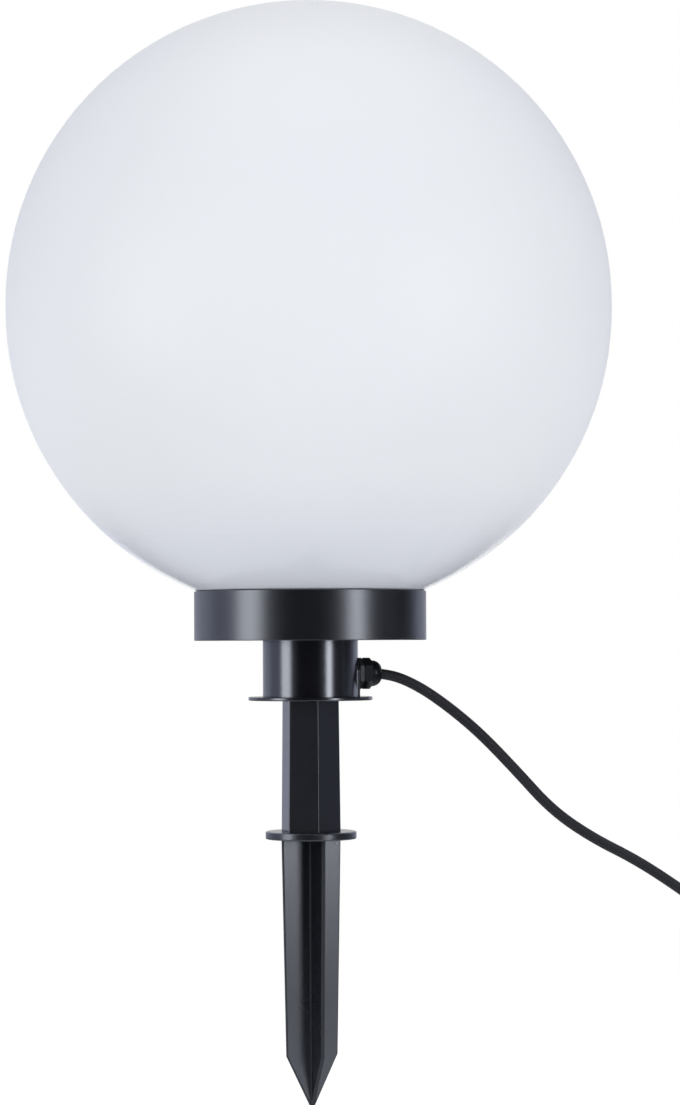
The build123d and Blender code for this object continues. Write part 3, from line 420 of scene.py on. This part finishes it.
def curtain(name, start, end, shade, glow=0.0):
    """Curtain round part of the studio, its foot drawn in over the floor, seen only in gloss."""
    bpy.ops.object.select_all(action="DESELECT")
    bpy.ops.mesh.primitive_plane_add(size=1.0, location=(0, 0, 0))
    cloth = bpy.context.object
    cloth.name = name
    bpy.ops.object.mode_set(mode="EDIT")
    bpy.ops.mesh.subdivide(number_cuts=CURTAIN_CUTS)
    bpy.ops.object.mode_set(mode="OBJECT")
    for vertex in cloth.data.vertices:
        turn = math.radians(start + (vertex.co.x + 0.5) * (end - start))
        run = (vertex.co.y + 0.5) * (CURTAIN_RADIUS - MAT_RADIUS + CURTAIN_HEIGHT)
        reach = min(MAT_RADIUS + run, CURTAIN_RADIUS)
        height = FLOOR_LEVEL + CURTAIN_LIFT + max(0.0, run - CURTAIN_RADIUS + MAT_RADIUS)
        vertex.co = (reach * math.sin(turn), -reach * math.cos(turn), height)
    dye = Finish(name, roughness=1.0)
    dye.colour(tuple(tint * shade for tint in CURTAIN_TINT))
    dye.set("Emission Color", (*CURTAIN_TINT, 1.0))
    dye.set("Emission Strength", glow)
    cloth.data.materials.append(dye.material)
    seen_in_gloss(cloth)


curtain("front_left_curtain", start=-46.0, end=-32.0, shade=0.15)
curtain("front_curtain", start=-32.0, end=24.0, shade=0.025)
curtain("front_right_curtain", start=24.0, end=40.0, shade=0.18)
curtain("near_right_curtain", start=40.0, end=84.0, shade=0.13)
curtain("right_curtain", start=84.0, end=104.0, shade=0.27)
curtain("back_right_curtain", start=104.0, end=128.0, shade=0.5)
curtain("far_curtain", start=128.0, end=160.0, shade=0.95, glow=0.09)
curtain("left_curtain", start=-112.0, end=-76.0, shade=0.7, glow=0.06)
curtain("back_left_curtain", start=-166.0, end=-112.0, shade=0.98, glow=0.1)

card_black = Finish("card_black", roughness=1.0)
card_black.colour(FLAG_BLACK)
bpy.ops.object.select_all(action="DESELECT")
bpy.ops.mesh.primitive_cube_add(size=1.0, location=FLAG_PLACE, scale=FLAG_SIZE)
flag = bpy.context.object
flag.name = "flag"
flag.data.materials.append(card_black.material)
seen_in_gloss(flag)

mat_dye = Finish("mat_dye", roughness=1.0)
outwards = ramp(
    mat_dye.tree, from_middle(mat_dye.tree), start=MAT_PALE, end=MAT_DARK, smooth=True)
mat_dye.colour(mat_dye.blend(outwards, MAT_MIDDLE, FLAG_BLACK))
mat = add_disc("mat", radius=MAT_RADIUS, sides=64, height=FLOOR_LEVEL + MAT_LIFT)
mat.data.materials.append(mat_dye.material)
seen_in_gloss(mat)


# Ground spike: black polypropylene, a round flange over a cross-shaped blade, moulded in one piece
# with the peg that goes up into the post. Its flat faces have a satin gloss, and the ribs' ends and
# roots are duller.
BLADE_TIP = -0.176
BLADE_SHOULDER = -0.142
BLADE_TOP_REACH = 0.0209
BLADE_LOW_REACH = 0.0181
BLADE_TIP_REACH = 0.001
DULL_DEPTH = 0.0006
DULL_ROOT = 0.0024
DULL_BLEND = 0.0002
DULL_TOP = -0.0003
DULL_ROUGHNESS = 0.9
PLASTIC_INDEX = 1.72
PLASTIC_TINT = (0.84, 0.89, 1.0, 1.0)
EDGE_WEAR_AND_HIGHLIGHT = (0.014, 0.015, 0.018)


def dress(node, material):
    """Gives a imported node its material, in place of the plain one that it came with."""
    for slot in cad_nodes[node].material_slots:
        slot.material = material


def black_plastic(name, colour, tint, roughness, grain_scale, depth, specular=0.5):
    """Black moulding: fine grain, slow drifts of gloss, and slightly paler edges: partly rubbed,
    partly a painted highlight.
    """
    finish = Finish(name, specular=specular)
    finish.set("IOR", PLASTIC_INDEX)
    finish.set("Specular Tint", PLASTIC_TINT)
    grain = finish.group(moulded_grain, Grain_Scale=grain_scale, Drift_Scale=11.0)
    edges = finish.group(edge_wear_and_highlight, Radius=0.0007, Breakup_Scale=260.0)
    body = finish.blend(grain.outputs["Drift"], colour, tint)
    # Paler colour on the edges: partly rubbing wear, partly a painted highlight along them.
    finish.colour(finish.blend(edges.outputs["Edge"], body, EDGE_WEAR_AND_HIGHLIGHT))
    finish.rough(finish.span(grain.outputs["Drift"], roughness - 0.05, roughness + 0.05))
    finish.bump(grain.outputs["Height"], distance=depth, strength=0.6)
    return finish


def axes_of(tree):
    """X, Y and Z of a place on a piece."""
    place = tree.nodes.new("ShaderNodeTexCoord")
    axes = tree.nodes.new("ShaderNodeSeparateXYZ")
    tree.links.new(place.outputs["Object"], axes.inputs["Vector"])
    return axes.outputs


spike = black_plastic(
    "spike_plastic", colour=(0.002, 0.002, 0.004), tint=(0.005, 0.005, 0.008),
    roughness=0.28, grain_scale=1100.0, depth=0.00006, specular=1.0)
across, deep, level = axes_of(spike.tree)
rib_end = math_node(
    spike.tree, "ADD",
    ramp(spike.tree, level, BLADE_SHOULDER, 0.0, BLADE_LOW_REACH, BLADE_TOP_REACH),
    ramp(spike.tree, level, BLADE_TIP, BLADE_SHOULDER, BLADE_TIP_REACH - BLADE_LOW_REACH, 0.0))
squares = [math_node(spike.tree, "MULTIPLY", side, side) for side in (across, deep)]
from_axis = math_node(spike.tree, "POWER", math_node(spike.tree, "ADD", *squares), 0.5)
past_end = math_node(spike.tree, "SUBTRACT", from_axis, rib_end)
ends_and_roots = math_node(
    spike.tree, "MAXIMUM",
    ramp(spike.tree, past_end, start=-DULL_DEPTH - DULL_BLEND, end=-DULL_DEPTH),
    ramp(spike.tree, from_axis, DULL_ROOT, DULL_ROOT + 2 * DULL_BLEND, low=1.0, high=0.0))
below_flange = math_node(spike.tree, "LESS_THAN", level, DULL_TOP)
dull = math_node(spike.tree, "MULTIPLY", ends_and_roots, below_flange)
skin_rough = spike.shader.inputs["Roughness"].links[0].from_socket
dull_rough = spike.span(dull, 0.0, DULL_ROUGHNESS)
spike.rough(math_node(spike.tree, "MAXIMUM", skin_rough, dull_rough))
dress("ground_spike", spike.material)


# Extension post: a six-sided tube of the same plastic, open below, with a thin flange and a keyed
# peg on top that the lamp's base slips over.
post = black_plastic(
    "post_plastic", colour=(0.004, 0.004, 0.006), tint=(0.007, 0.007, 0.009),
    roughness=0.22, grain_scale=1100.0, depth=0.00006, specular=0.9)
dress("extension_post", post.material)


# Base housing: the collar that takes the globe's neck and the hub below it, one black moulding that
# slips over the post's peg. Its mould is polished, the hub's part brighter than the collar's.
COLLAR_UNDERSIDE = 0.1307
GLOSS_BLEND = 0.0005
HUB_ROUGHNESS = 0.19
COLLAR_ROUGHNESS = 0.3
housing = black_plastic(
    "housing_plastic", colour=(0.002, 0.002, 0.003), tint=(0.004, 0.004, 0.006),
    roughness=0.25, grain_scale=1700.0, depth=0.00005, specular=1.0)
housing.rough(ramp(
    housing.tree, axes_of(housing.tree)["Z"], COLLAR_UNDERSIDE - GLOSS_BLEND,
    COLLAR_UNDERSIDE + GLOSS_BLEND, HUB_ROUGHNESS, COLLAR_ROUGHNESS))
dress("base_housing", housing.material)


# Cable gland: black nylon body and cap nut with a slotted ring and a rubber bush inside, screwed
# through the hub's flat pad with a rubber washer outside and a lock nut inside.
gland_nylon = black_plastic(
    "gland_nylon", colour=(0.003, 0.003, 0.004), tint=(0.006, 0.006, 0.008),
    roughness=0.3, grain_scale=900.0, depth=0.0001, specular=0.2)
for node in ("gland_cap", "gland_claw", "gland_locknut"):
    dress(node, gland_nylon.material)
# Painted light: the body is the same black nylon as the cap, coloured paler all over for its flat
# that faces the light.
lit_body_nylon = black_plastic(
    "lit_body_nylon", colour=(0.024, 0.024, 0.027), tint=(0.034, 0.034, 0.038),
    roughness=0.5, grain_scale=900.0, depth=0.0001, specular=0.7)
dress("gland_body", lit_body_nylon.material)
seal_rubber = rubber_finish(
    "seal_rubber", colour=(0.018, 0.018, 0.018), worn=(0.032, 0.032, 0.032),
    roughness=0.62, grain_scale=1300.0)
for node in ("gland_washer", "gland_bush", "neck_seal"):
    dress(node, seal_rubber)


# Bracket and its fixings: zinc-plated steel strap, two screws, entry nipple and nut, with the dull
# blue-grey bloom that plating has.
PLATE_EDGE = (0.85, 0.85, 0.84)


def plated_metal(name, colour, tint, roughness):
    """Plated metal: cloudy tone, fine grain in the gloss, brighter edges."""
    finish = Finish(name, metallic=1.0)
    grain = finish.group(moulded_grain, Grain_Scale=1600.0, Drift_Scale=60.0)
    edges = finish.group(edge_wear_and_highlight, Radius=0.0004, Breakup_Scale=400.0)
    body = finish.blend(grain.outputs["Drift"], colour, tint)
    finish.colour(finish.blend(edges.outputs["Edge"], body, PLATE_EDGE))
    finish.rough(finish.span(grain.outputs["Grain"], roughness - 0.05, roughness + 0.06))
    finish.bump(grain.outputs["Height"], distance=0.00001, strength=0.3)
    return finish.material


zinc_plate = plated_metal(
    "zinc_plate", colour=(0.50, 0.51, 0.53), tint=(0.64, 0.65, 0.66), roughness=0.36)
for node in ("holder_bracket", "bracket_screws", "holder_nipple", "nipple_nut"):
    dress(node, zinc_plate)


# Lampholder: black thermoset body with a brass centre contact and two brass terminals, clamped to
# the bracket by the entry nipple.
holder_moulding = black_plastic(
    "holder_moulding", colour=(0.008, 0.008, 0.008), tint=(0.016, 0.015, 0.014),
    roughness=0.3, grain_scale=1400.0, depth=0.00006)
dress("holder_body", holder_moulding.material)
holder_brass = plated_metal(
    "holder_brass", colour=(0.66, 0.47, 0.19), tint=(0.78, 0.60, 0.28), roughness=0.32)
for node in ("centre_contact", "holder_terminals"):
    dress(node, holder_brass)


# Sheath end and wires: inside the hub the lead's sheath is cut square, with its filler set back. A
# brown and a blue wire go up from it past the post's socket to the lampholder's terminals.
SHEATH_FROM = 0.0206
SHEATH_TO = 0.0386
SHEATH_WALL = 0.0011
FILLER_SETBACK = 0.0015
SHEATH_SIDES = 32
SHEATH_ROUNDING = 0.0002
FACING = 0.9
MERGE_GAP = 0.000002
SHARP_ANGLE = math.radians(35)
SMOOTH_ANGLE = math.radians(40)
GLAND_TURN = math.radians(14.0)
GLAND_LEVEL = 0.1087
WIRE_RADIUS = 0.0012
LIVE_POINTS = [
    (0.02183, 0.004, 0.1087), (0.0148, 0.00225, 0.1087), (0.0148, 0.00225, 0.127),
    (0.0131, -0.00292, 0.1363), (0.0131, -0.00292, 0.15155),
]
NEUTRAL_POINTS = [
    (0.02115, 0.0067, 0.1087), (0.01412, 0.00496, 0.1087), (0.01412, 0.00496, 0.127),
    (0.01019, 0.00872, 0.1363), (0.01019, 0.00872, 0.15155),
]


def start_piece(name):
    """Takes the primitive just added into edit mode, its place in its mesh, nothing selected."""
    piece = bpy.context.object
    piece.name = name
    piece.data.name = name
    bpy.ops.object.transform_apply(location=True, rotation=True, scale=True)
    bpy.ops.object.mode_set(mode="EDIT")
    bpy.ops.mesh.select_all(action="DESELECT")
    return piece


def pick_faces(piece, wanted):
    """Selects the faces whose middle and normal pass a test."""
    bpy.ops.mesh.select_mode(type="FACE")
    bpy.ops.mesh.select_all(action="DESELECT")
    mesh = bmesh.from_edit_mesh(piece.data)
    for face in mesh.faces:
        if wanted(face.calc_center_median(), face.normal):
            face.select_set(True)
    bmesh.update_edit_mesh(piece.data)


def draw_out(along):
    """Extrudes the selected faces along a vector."""
    bpy.ops.mesh.extrude_region_move(TRANSFORM_OT_translate={"value": along})


def close_piece(piece, rounding, material):
    """Merges doubles, turns faces outwards, rounds sharp edges and gives the piece its material."""
    bpy.ops.mesh.select_mode(type="VERT")
    bpy.ops.mesh.select_all(action="SELECT")
    bpy.ops.mesh.remove_doubles(threshold=MERGE_GAP)
    bpy.ops.mesh.normals_make_consistent(inside=False)
    bpy.ops.object.mode_set(mode="OBJECT")
    bevel = piece.modifiers.new("rounded_edges", "BEVEL")
    bevel.width = rounding
    bevel.segments = 2
    bevel.limit_method = "ANGLE"
    bevel.angle_limit = SHARP_ANGLE
    bpy.ops.object.modifier_apply(modifier=bevel.name)
    bpy.ops.object.shade_smooth_by_angle(angle=SMOOTH_ANGLE)
    piece.data.materials.append(material)


gland_out = Vector((math.cos(GLAND_TURN), math.sin(GLAND_TURN), 0.0))
bpy.ops.object.select_all(action="DESELECT")
bpy.ops.mesh.primitive_cylinder_add(
    vertices=SHEATH_SIDES, radius=CORD_RADIUS, depth=SHEATH_TO - SHEATH_FROM,
    location=gland_out * ((SHEATH_FROM + SHEATH_TO) / 2) + Vector((0.0, 0.0, GLAND_LEVEL)),
    rotation=(0.0, math.radians(90), GLAND_TURN))
sheath_end = start_piece("sheath_end")
pick_faces(sheath_end, lambda middle, normal: normal.dot(gland_out) < -FACING)
bpy.ops.mesh.inset(thickness=SHEATH_WALL)
draw_out(gland_out * FILLER_SETBACK)
close_piece(sheath_end, SHEATH_ROUNDING, lead_rubber)
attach(sheath_end, "head")
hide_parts("cord_inner")


def wire_finish(name, colour, tint):
    """Smooth insulation of a wire, a little uneven in tone."""
    finish = Finish(name)
    grain = finish.group(moulded_grain, Grain_Scale=900.0, Drift_Scale=80.0)
    finish.colour(finish.blend(grain.outputs["Drift"], colour, tint))
    finish.rough(finish.span(grain.outputs["Grain"], low=0.3, high=0.42))
    finish.bump(grain.outputs["Height"], distance=0.00003, strength=0.4)
    return finish.material


brown = wire_finish("wire_brown", colour=(0.13, 0.05, 0.02), tint=(0.2, 0.09, 0.04))
blue = wire_finish("wire_blue", colour=(0.02, 0.09, 0.34), tint=(0.05, 0.16, 0.46))
for name, node, points, slot, insulation in (
        ("live_wire", "wire_live", LIVE_POINTS, "wire_brown", brown),
        ("neutral_wire", "wire_neutral", NEUTRAL_POINTS, "wire_blue", blue)):
    wire = smooth_curve(name, points, WIRE_RADIUS)
    wire.data.materials.append(insulation)
    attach(wire, "head")
    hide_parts(node)


# Screw shell: thin brass sheet with the bulb's thread rolled into it, standing in the lampholder's
# well on a flange that is turned in at its foot.
SHELL_RADIUS = 0.0141
SHELL_FOOT = 0.1578
SHELL_START = 0.1608
SHELL_END = 0.1818
SHELL_TOP = 0.1828
SHELL_FLANGE = 0.01115
SHELL_GROOVE = 0.0005
SHELL_SHEET = 0.0003
SHELL_ROUNDING = 0.00008
THREAD_PITCH = 0.003629
THREAD_ROW = 0.0003
THREAD_STEPS = 72


def pick_edges(piece, wanted):
    """Selects the edges whose two ends pass a test."""
    bpy.ops.mesh.select_mode(type="EDGE")
    bpy.ops.mesh.select_all(action="DESELECT")
    mesh = bmesh.from_edit_mesh(piece.data)
    for edge in mesh.edges:
        if wanted(edge.verts[0].co, edge.verts[1].co):
            edge.select_set(True)
    bmesh.update_edit_mesh(piece.data)


def sheet_tube(name, radius, foot, start, top, flange):
    """Open upright tube, in fine rows from its thread's start, its foot turned in to a flange."""
    bpy.ops.object.select_all(action="DESELECT")
    bpy.ops.mesh.primitive_cylinder_add(
        vertices=THREAD_STEPS, radius=radius, depth=top - start, end_fill_type="NOTHING",
        location=(0.0, 0.0, (start + top) / 2))
    tube = start_piece(name)
    pick_edges(tube, lambda a, b: abs(a.z - b.z) > (top - start) / 2)
    bpy.ops.mesh.subdivide(number_cuts=round((top - start) / THREAD_ROW) - 1)
    pick_edges(tube, lambda a, b: max(a.z, b.z) < start + THREAD_ROW / 2)
    bpy.ops.mesh.extrude_edges_move(TRANSFORM_OT_translate={"value": (0.0, 0.0, foot - start)})
    bpy.ops.mesh.extrude_edges_move()
    bpy.ops.transform.resize(
        value=(flange / radius, flange / radius, 1.0), center_override=(0.0, 0.0, foot))
    return tube


def roll_thread(tube, groove, start, end):
    """Rolls a round thread into a tube's wall between two levels, fading over a pitch at each."""
    mesh = bmesh.from_edit_mesh(tube.data)
    for vertex in mesh.verts:
        place = vertex.co
        if start < place.z < end:
            fade = min(1.0, (place.z - start) / THREAD_PITCH, (end - place.z) / THREAD_PITCH)
            turns = place.z / THREAD_PITCH - math.atan2(place.y, place.x) / math.tau
            depth = groove * fade * (1.0 - math.cos(math.tau * turns)) / 2
            place.xy *= 1.0 - depth / place.xy.length
    bmesh.update_edit_mesh(tube.data)


def sheet_wall(piece, thickness):
    """Gives an open sheet its wall, inwards from its outer face, and goes back to edit mode."""
    bpy.ops.object.mode_set(mode="OBJECT")
    wall = piece.modifiers.new("wall", "SOLIDIFY")
    wall.thickness = thickness
    wall.offset = -1.0
    bpy.ops.object.modifier_apply(modifier=wall.name)
    bpy.ops.object.mode_set(mode="EDIT")


screw_shell = sheet_tube(
    "screw_shell", SHELL_RADIUS, SHELL_FOOT, SHELL_START, SHELL_TOP, SHELL_FLANGE)
roll_thread(screw_shell, SHELL_GROOVE, SHELL_START, SHELL_END)
sheet_wall(screw_shell, SHELL_SHEET)
close_piece(screw_shell, SHELL_ROUNDING, holder_brass)
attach(screw_shell, "head")
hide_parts("holder_shell")


# Bulb: an opal dome on a white plastic housing with its round board, and a nickel-plated screw cap
# of thin rolled sheet, with a black insulator and a foot contact.
CAP_RADIUS = 0.0132
CAP_FOOT = 0.1668
CAP_START = 0.1678
CAP_END = 0.1843
CAP_TOP = 0.1888
CAP_FLANGE = 0.011
CAP_GROOVE = 0.0009
CAP_SHEET = 0.0004
CAP_ROUNDING = 0.0001


def white_plastic(name, colour, tint, roughness, grain_scale, depth):
    """Pale moulding with a fine skin and a faint drift of tone."""
    finish = Finish(name)
    grain = finish.group(moulded_grain, Grain_Scale=grain_scale, Drift_Scale=6.0)
    finish.colour(finish.blend(grain.outputs["Drift"], colour, tint))
    finish.rough(finish.span(grain.outputs["Drift"], roughness - 0.04, roughness + 0.06))
    finish.bump(grain.outputs["Height"], distance=depth, strength=0.5)
    return finish.material


dress("bulb_dome", white_plastic(
    "bulb_opal", colour=(0.86, 0.86, 0.83), tint=(0.9, 0.9, 0.88),
    roughness=0.42, grain_scale=1500.0, depth=0.00004))
dress("bulb_housing", white_plastic(
    "bulb_shell", colour=(0.8, 0.8, 0.79), tint=(0.86, 0.86, 0.85),
    roughness=0.34, grain_scale=1500.0, depth=0.00004))
dress("bulb_board", white_plastic(
    "board_coat", colour=(0.78, 0.79, 0.78), tint=(0.84, 0.84, 0.83),
    roughness=0.3, grain_scale=1200.0, depth=0.00003))
cap_nickel = plated_metal(
    "cap_nickel", colour=(0.62, 0.60, 0.56), tint=(0.72, 0.70, 0.66), roughness=0.26)
dress("bulb_contact", cap_nickel)
insulator_glass = black_plastic(
    "insulator_glass", colour=(0.008, 0.008, 0.009), tint=(0.014, 0.014, 0.016),
    roughness=0.16, grain_scale=600.0, depth=0.00003)
dress("bulb_insulator", insulator_glass.material)
screw_cap = sheet_tube("screw_cap", CAP_RADIUS, CAP_FOOT, CAP_START, CAP_TOP, CAP_FLANGE)
roll_thread(screw_cap, CAP_GROOVE, CAP_START, CAP_END)
sheet_wall(screw_cap, CAP_SHEET)
close_piece(screw_cap, CAP_ROUNDING, cap_nickel)
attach(screw_cap, "bulb")
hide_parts("bulb_cap")


# Globe: one ball of opal white plastic, blown with its neck, which screws into the collar on a
# rubber ring. Its skin is satin, smoother round the neck, where its colour is painted darker and
# bluer as painted shade.
NECK_LEVEL = 0.171
SATIN_LEVEL = 0.234
NECK_SHADE_COLOUR = (0.75, 0.78, 0.86)
BALL_COLOUR = (0.80, 0.823, 0.873)
BALL_TINT = (0.82, 0.84, 0.885)
NECK_ROUGHNESS = 0.14
SATIN_ROUGHNESS = 0.5
opal = Finish("globe_opal")
skin = opal.group(moulded_grain, Grain_Scale=1400.0, Drift_Scale=6.0)
above_neck = ramp(
    opal.tree, axes_of(opal.tree)["Z"], start=NECK_LEVEL, end=SATIN_LEVEL, smooth=True)
ball = opal.blend(skin.outputs["Drift"], BALL_COLOUR, BALL_TINT)
# Painted shade: the colour goes darker and bluer towards the neck.
opal.colour(opal.blend(above_neck, NECK_SHADE_COLOUR, ball))
opal.rough(opal.span(above_neck, NECK_ROUGHNESS, SATIN_ROUGHNESS))
opal.bump(skin.outputs["Height"], distance=0.00003, strength=0.4)
dress("globe", opal.material)


# Tie: a black woven strap folded once round the bundle, its end pressed down over itself on top.
# It is a closed band with a wall of its own, and the end is drawn out of the band's top.
TIE_CENTRE = (0.457, -0.02975, -0.1575)
TIE_SIZE = (0.0284, 0.006, 0.037)
TIE_CORNER = 0.0056
CORNER_STEPS = 8
TIE_WALL = 0.0014
TIE_END_RISE = 0.0011
TIE_END_SHIFT = -0.0014
TIE_ROUNDING = 0.0003
TWILL_SCALE = 180.0
DEAD_LEVEL = 0.999
bpy.ops.object.select_all(action="DESELECT")
bpy.ops.mesh.primitive_cube_add(size=1.0, location=TIE_CENTRE, scale=TIE_SIZE)
tie = start_piece("tie_strap")
pick_edges(tie, lambda a, b: abs(a.y - b.y) > TIE_SIZE[1] / 2)
bpy.ops.mesh.bevel(offset=TIE_CORNER, segments=CORNER_STEPS, affect="EDGES")
pick_faces(tie, lambda middle, normal: abs(normal.y) > FACING)
bpy.ops.mesh.delete(type="ONLY_FACE")
sheet_wall(tie, TIE_WALL)
tie_top = TIE_CENTRE[2] + TIE_SIZE[2] / 2
pick_faces(tie, lambda middle, normal: normal.z > DEAD_LEVEL and middle.z > tie_top - TIE_WALL / 2)
draw_out((TIE_END_SHIFT, 0.0, TIE_END_RISE))
tie_nylon = black_plastic(
    "tie_nylon", colour=(0.01, 0.01, 0.01), tint=(0.02, 0.02, 0.02),
    roughness=0.6, grain_scale=700.0, depth=0.0002)
twill = tie_nylon.tree.nodes.new("ShaderNodeTexWave")
twill.bands_direction = "DIAGONAL"
twill.inputs["Scale"].default_value = TWILL_SCALE
tie_place = tie_nylon.tree.nodes.new("ShaderNodeTexCoord")
tie_nylon.tree.links.new(tie_place.outputs["Object"], twill.inputs["Vector"])
tie_nylon.bump(twill.outputs["Fac"], distance=0.0002, strength=0.7)
close_piece(tie, TIE_ROUNDING, tie_nylon.material)
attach(tie, "head")
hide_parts("cord_tie")


# Plug: one moulding of black rubber, ribbed where fingers hold it, with a ringed strain relief and
# two nickel-plated brass pins set in its face.
PLUG_AXIS = (0.0, -0.078, -0.164)
PLUG_FACE = 0.2685
PLUG_SIZE = (0.022, 0.036, 0.024)
PLUG_CORNER = 0.009
PLUG_SHOULDER = 0.02
PLUG_NECK = 0.015
PLUG_ROUNDING = 0.00025
DISH_MARGIN = 0.003
DISH_DEPTH = 0.0007
FACE_MARGIN = 0.0022
FACE_GROOVE = 0.0006
FACE_GROOVE_DEPTH = 0.0005
GRIP_RIBS = 3
GRIP_PITCH = 0.0048
GRIP_GROOVE = 0.0018
GROOVE_EDGE = 0.0003
RELIEF_RINGS = 7
RELIEF_PITCH = 0.00447
RELIEF_GROOVE = 0.0016
RELIEF_ROOT = 0.013
RELIEF_TIP = 0.0092


def draw_to(piece, run, width, thickness):
    """Draws the plug's selected end out along its axis, then brings it to a width and thickness."""
    draw_out((run, 0.0, 0.0))
    places = [vertex.co for vertex in bmesh.from_edit_mesh(piece.data).verts if vertex.select]
    wide = max(place.y for place in places) - min(place.y for place in places)
    thick = max(place.z for place in places) - min(place.z for place in places)
    bpy.ops.transform.resize(
        value=(1.0, width / wide, thickness / thick), center_override=PLUG_AXIS)


def shoulder_size(run):
    """Width and thickness of the plug's tapering shoulder at a run from its body."""
    share = run / PLUG_SHOULDER
    return tuple(size + share * (PLUG_NECK - size) for size in PLUG_SIZE[1:])


bpy.ops.object.select_all(action="DESELECT")
bpy.ops.mesh.primitive_cube_add(
    size=1.0, location=(PLUG_FACE + PLUG_SIZE[0] / 2, PLUG_AXIS[1], PLUG_AXIS[2]), scale=PLUG_SIZE)
plug = start_piece("plug")
pick_edges(plug, lambda a, b: abs(a.x - b.x) > PLUG_SIZE[0] / 2)
bpy.ops.mesh.bevel(offset=PLUG_CORNER, segments=CORNER_STEPS, affect="EDGES")
pick_faces(plug, lambda middle, normal: abs(normal.z) > DEAD_LEVEL)
bpy.ops.mesh.inset(thickness=DISH_MARGIN, depth=-DISH_DEPTH, use_individual=True)
pick_faces(plug, lambda middle, normal: normal.x < -FACING)
bpy.ops.mesh.inset(thickness=FACE_MARGIN)
bpy.ops.mesh.inset(thickness=FACE_GROOVE, depth=-FACE_GROOVE_DEPTH)
bpy.ops.mesh.inset(thickness=FACE_GROOVE, depth=FACE_GROOVE_DEPTH)
pick_faces(plug, lambda middle, normal: normal.x > FACING)
run = 0.0
for rib in range(GRIP_RIBS):
    step = GRIP_PITCH - GRIP_GROOVE
    draw_to(plug, step, *shoulder_size(run + step))
    width, thickness = shoulder_size(run + step + GROOVE_EDGE)
    draw_to(plug, GROOVE_EDGE, width - GRIP_GROOVE, thickness - GRIP_GROOVE)
    width, thickness = shoulder_size(run + GRIP_PITCH - GROOVE_EDGE)
    draw_to(plug, GRIP_GROOVE - 2 * GROOVE_EDGE, width - GRIP_GROOVE, thickness - GRIP_GROOVE)
    draw_to(plug, GROOVE_EDGE, *shoulder_size(run + GRIP_PITCH))
    run += GRIP_PITCH
draw_to(plug, PLUG_SHOULDER - run, PLUG_NECK, PLUG_NECK)
bpy.ops.transform.tosphere(value=1.0)
draw_to(plug, GROOVE_EDGE, RELIEF_ROOT, RELIEF_ROOT)
for ring in range(RELIEF_RINGS):
    outer = RELIEF_ROOT + (RELIEF_TIP - RELIEF_ROOT) * (ring + 1) / RELIEF_RINGS
    inner = outer - RELIEF_GROOVE
    draw_to(plug, RELIEF_PITCH - RELIEF_GROOVE, outer, outer)
    if ring < RELIEF_RINGS - 1:
        draw_to(plug, GROOVE_EDGE, inner, inner)
        draw_to(plug, RELIEF_GROOVE - 2 * GROOVE_EDGE, inner, inner)
        draw_to(plug, GROOVE_EDGE, outer, outer)
plug_rubber = rubber_finish(
    "plug_rubber", colour=(0.014, 0.014, 0.016), worn=(0.026, 0.026, 0.029),
    roughness=0.5, grain_scale=1100.0)
close_piece(plug, PLUG_ROUNDING, plug_rubber)
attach(plug, "head")
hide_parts("plug_body")
dress("plug_pins", plated_metal(
    "pin_nickel", colour=(0.66, 0.65, 0.62), tint=(0.76, 0.75, 0.72), roughness=0.24))
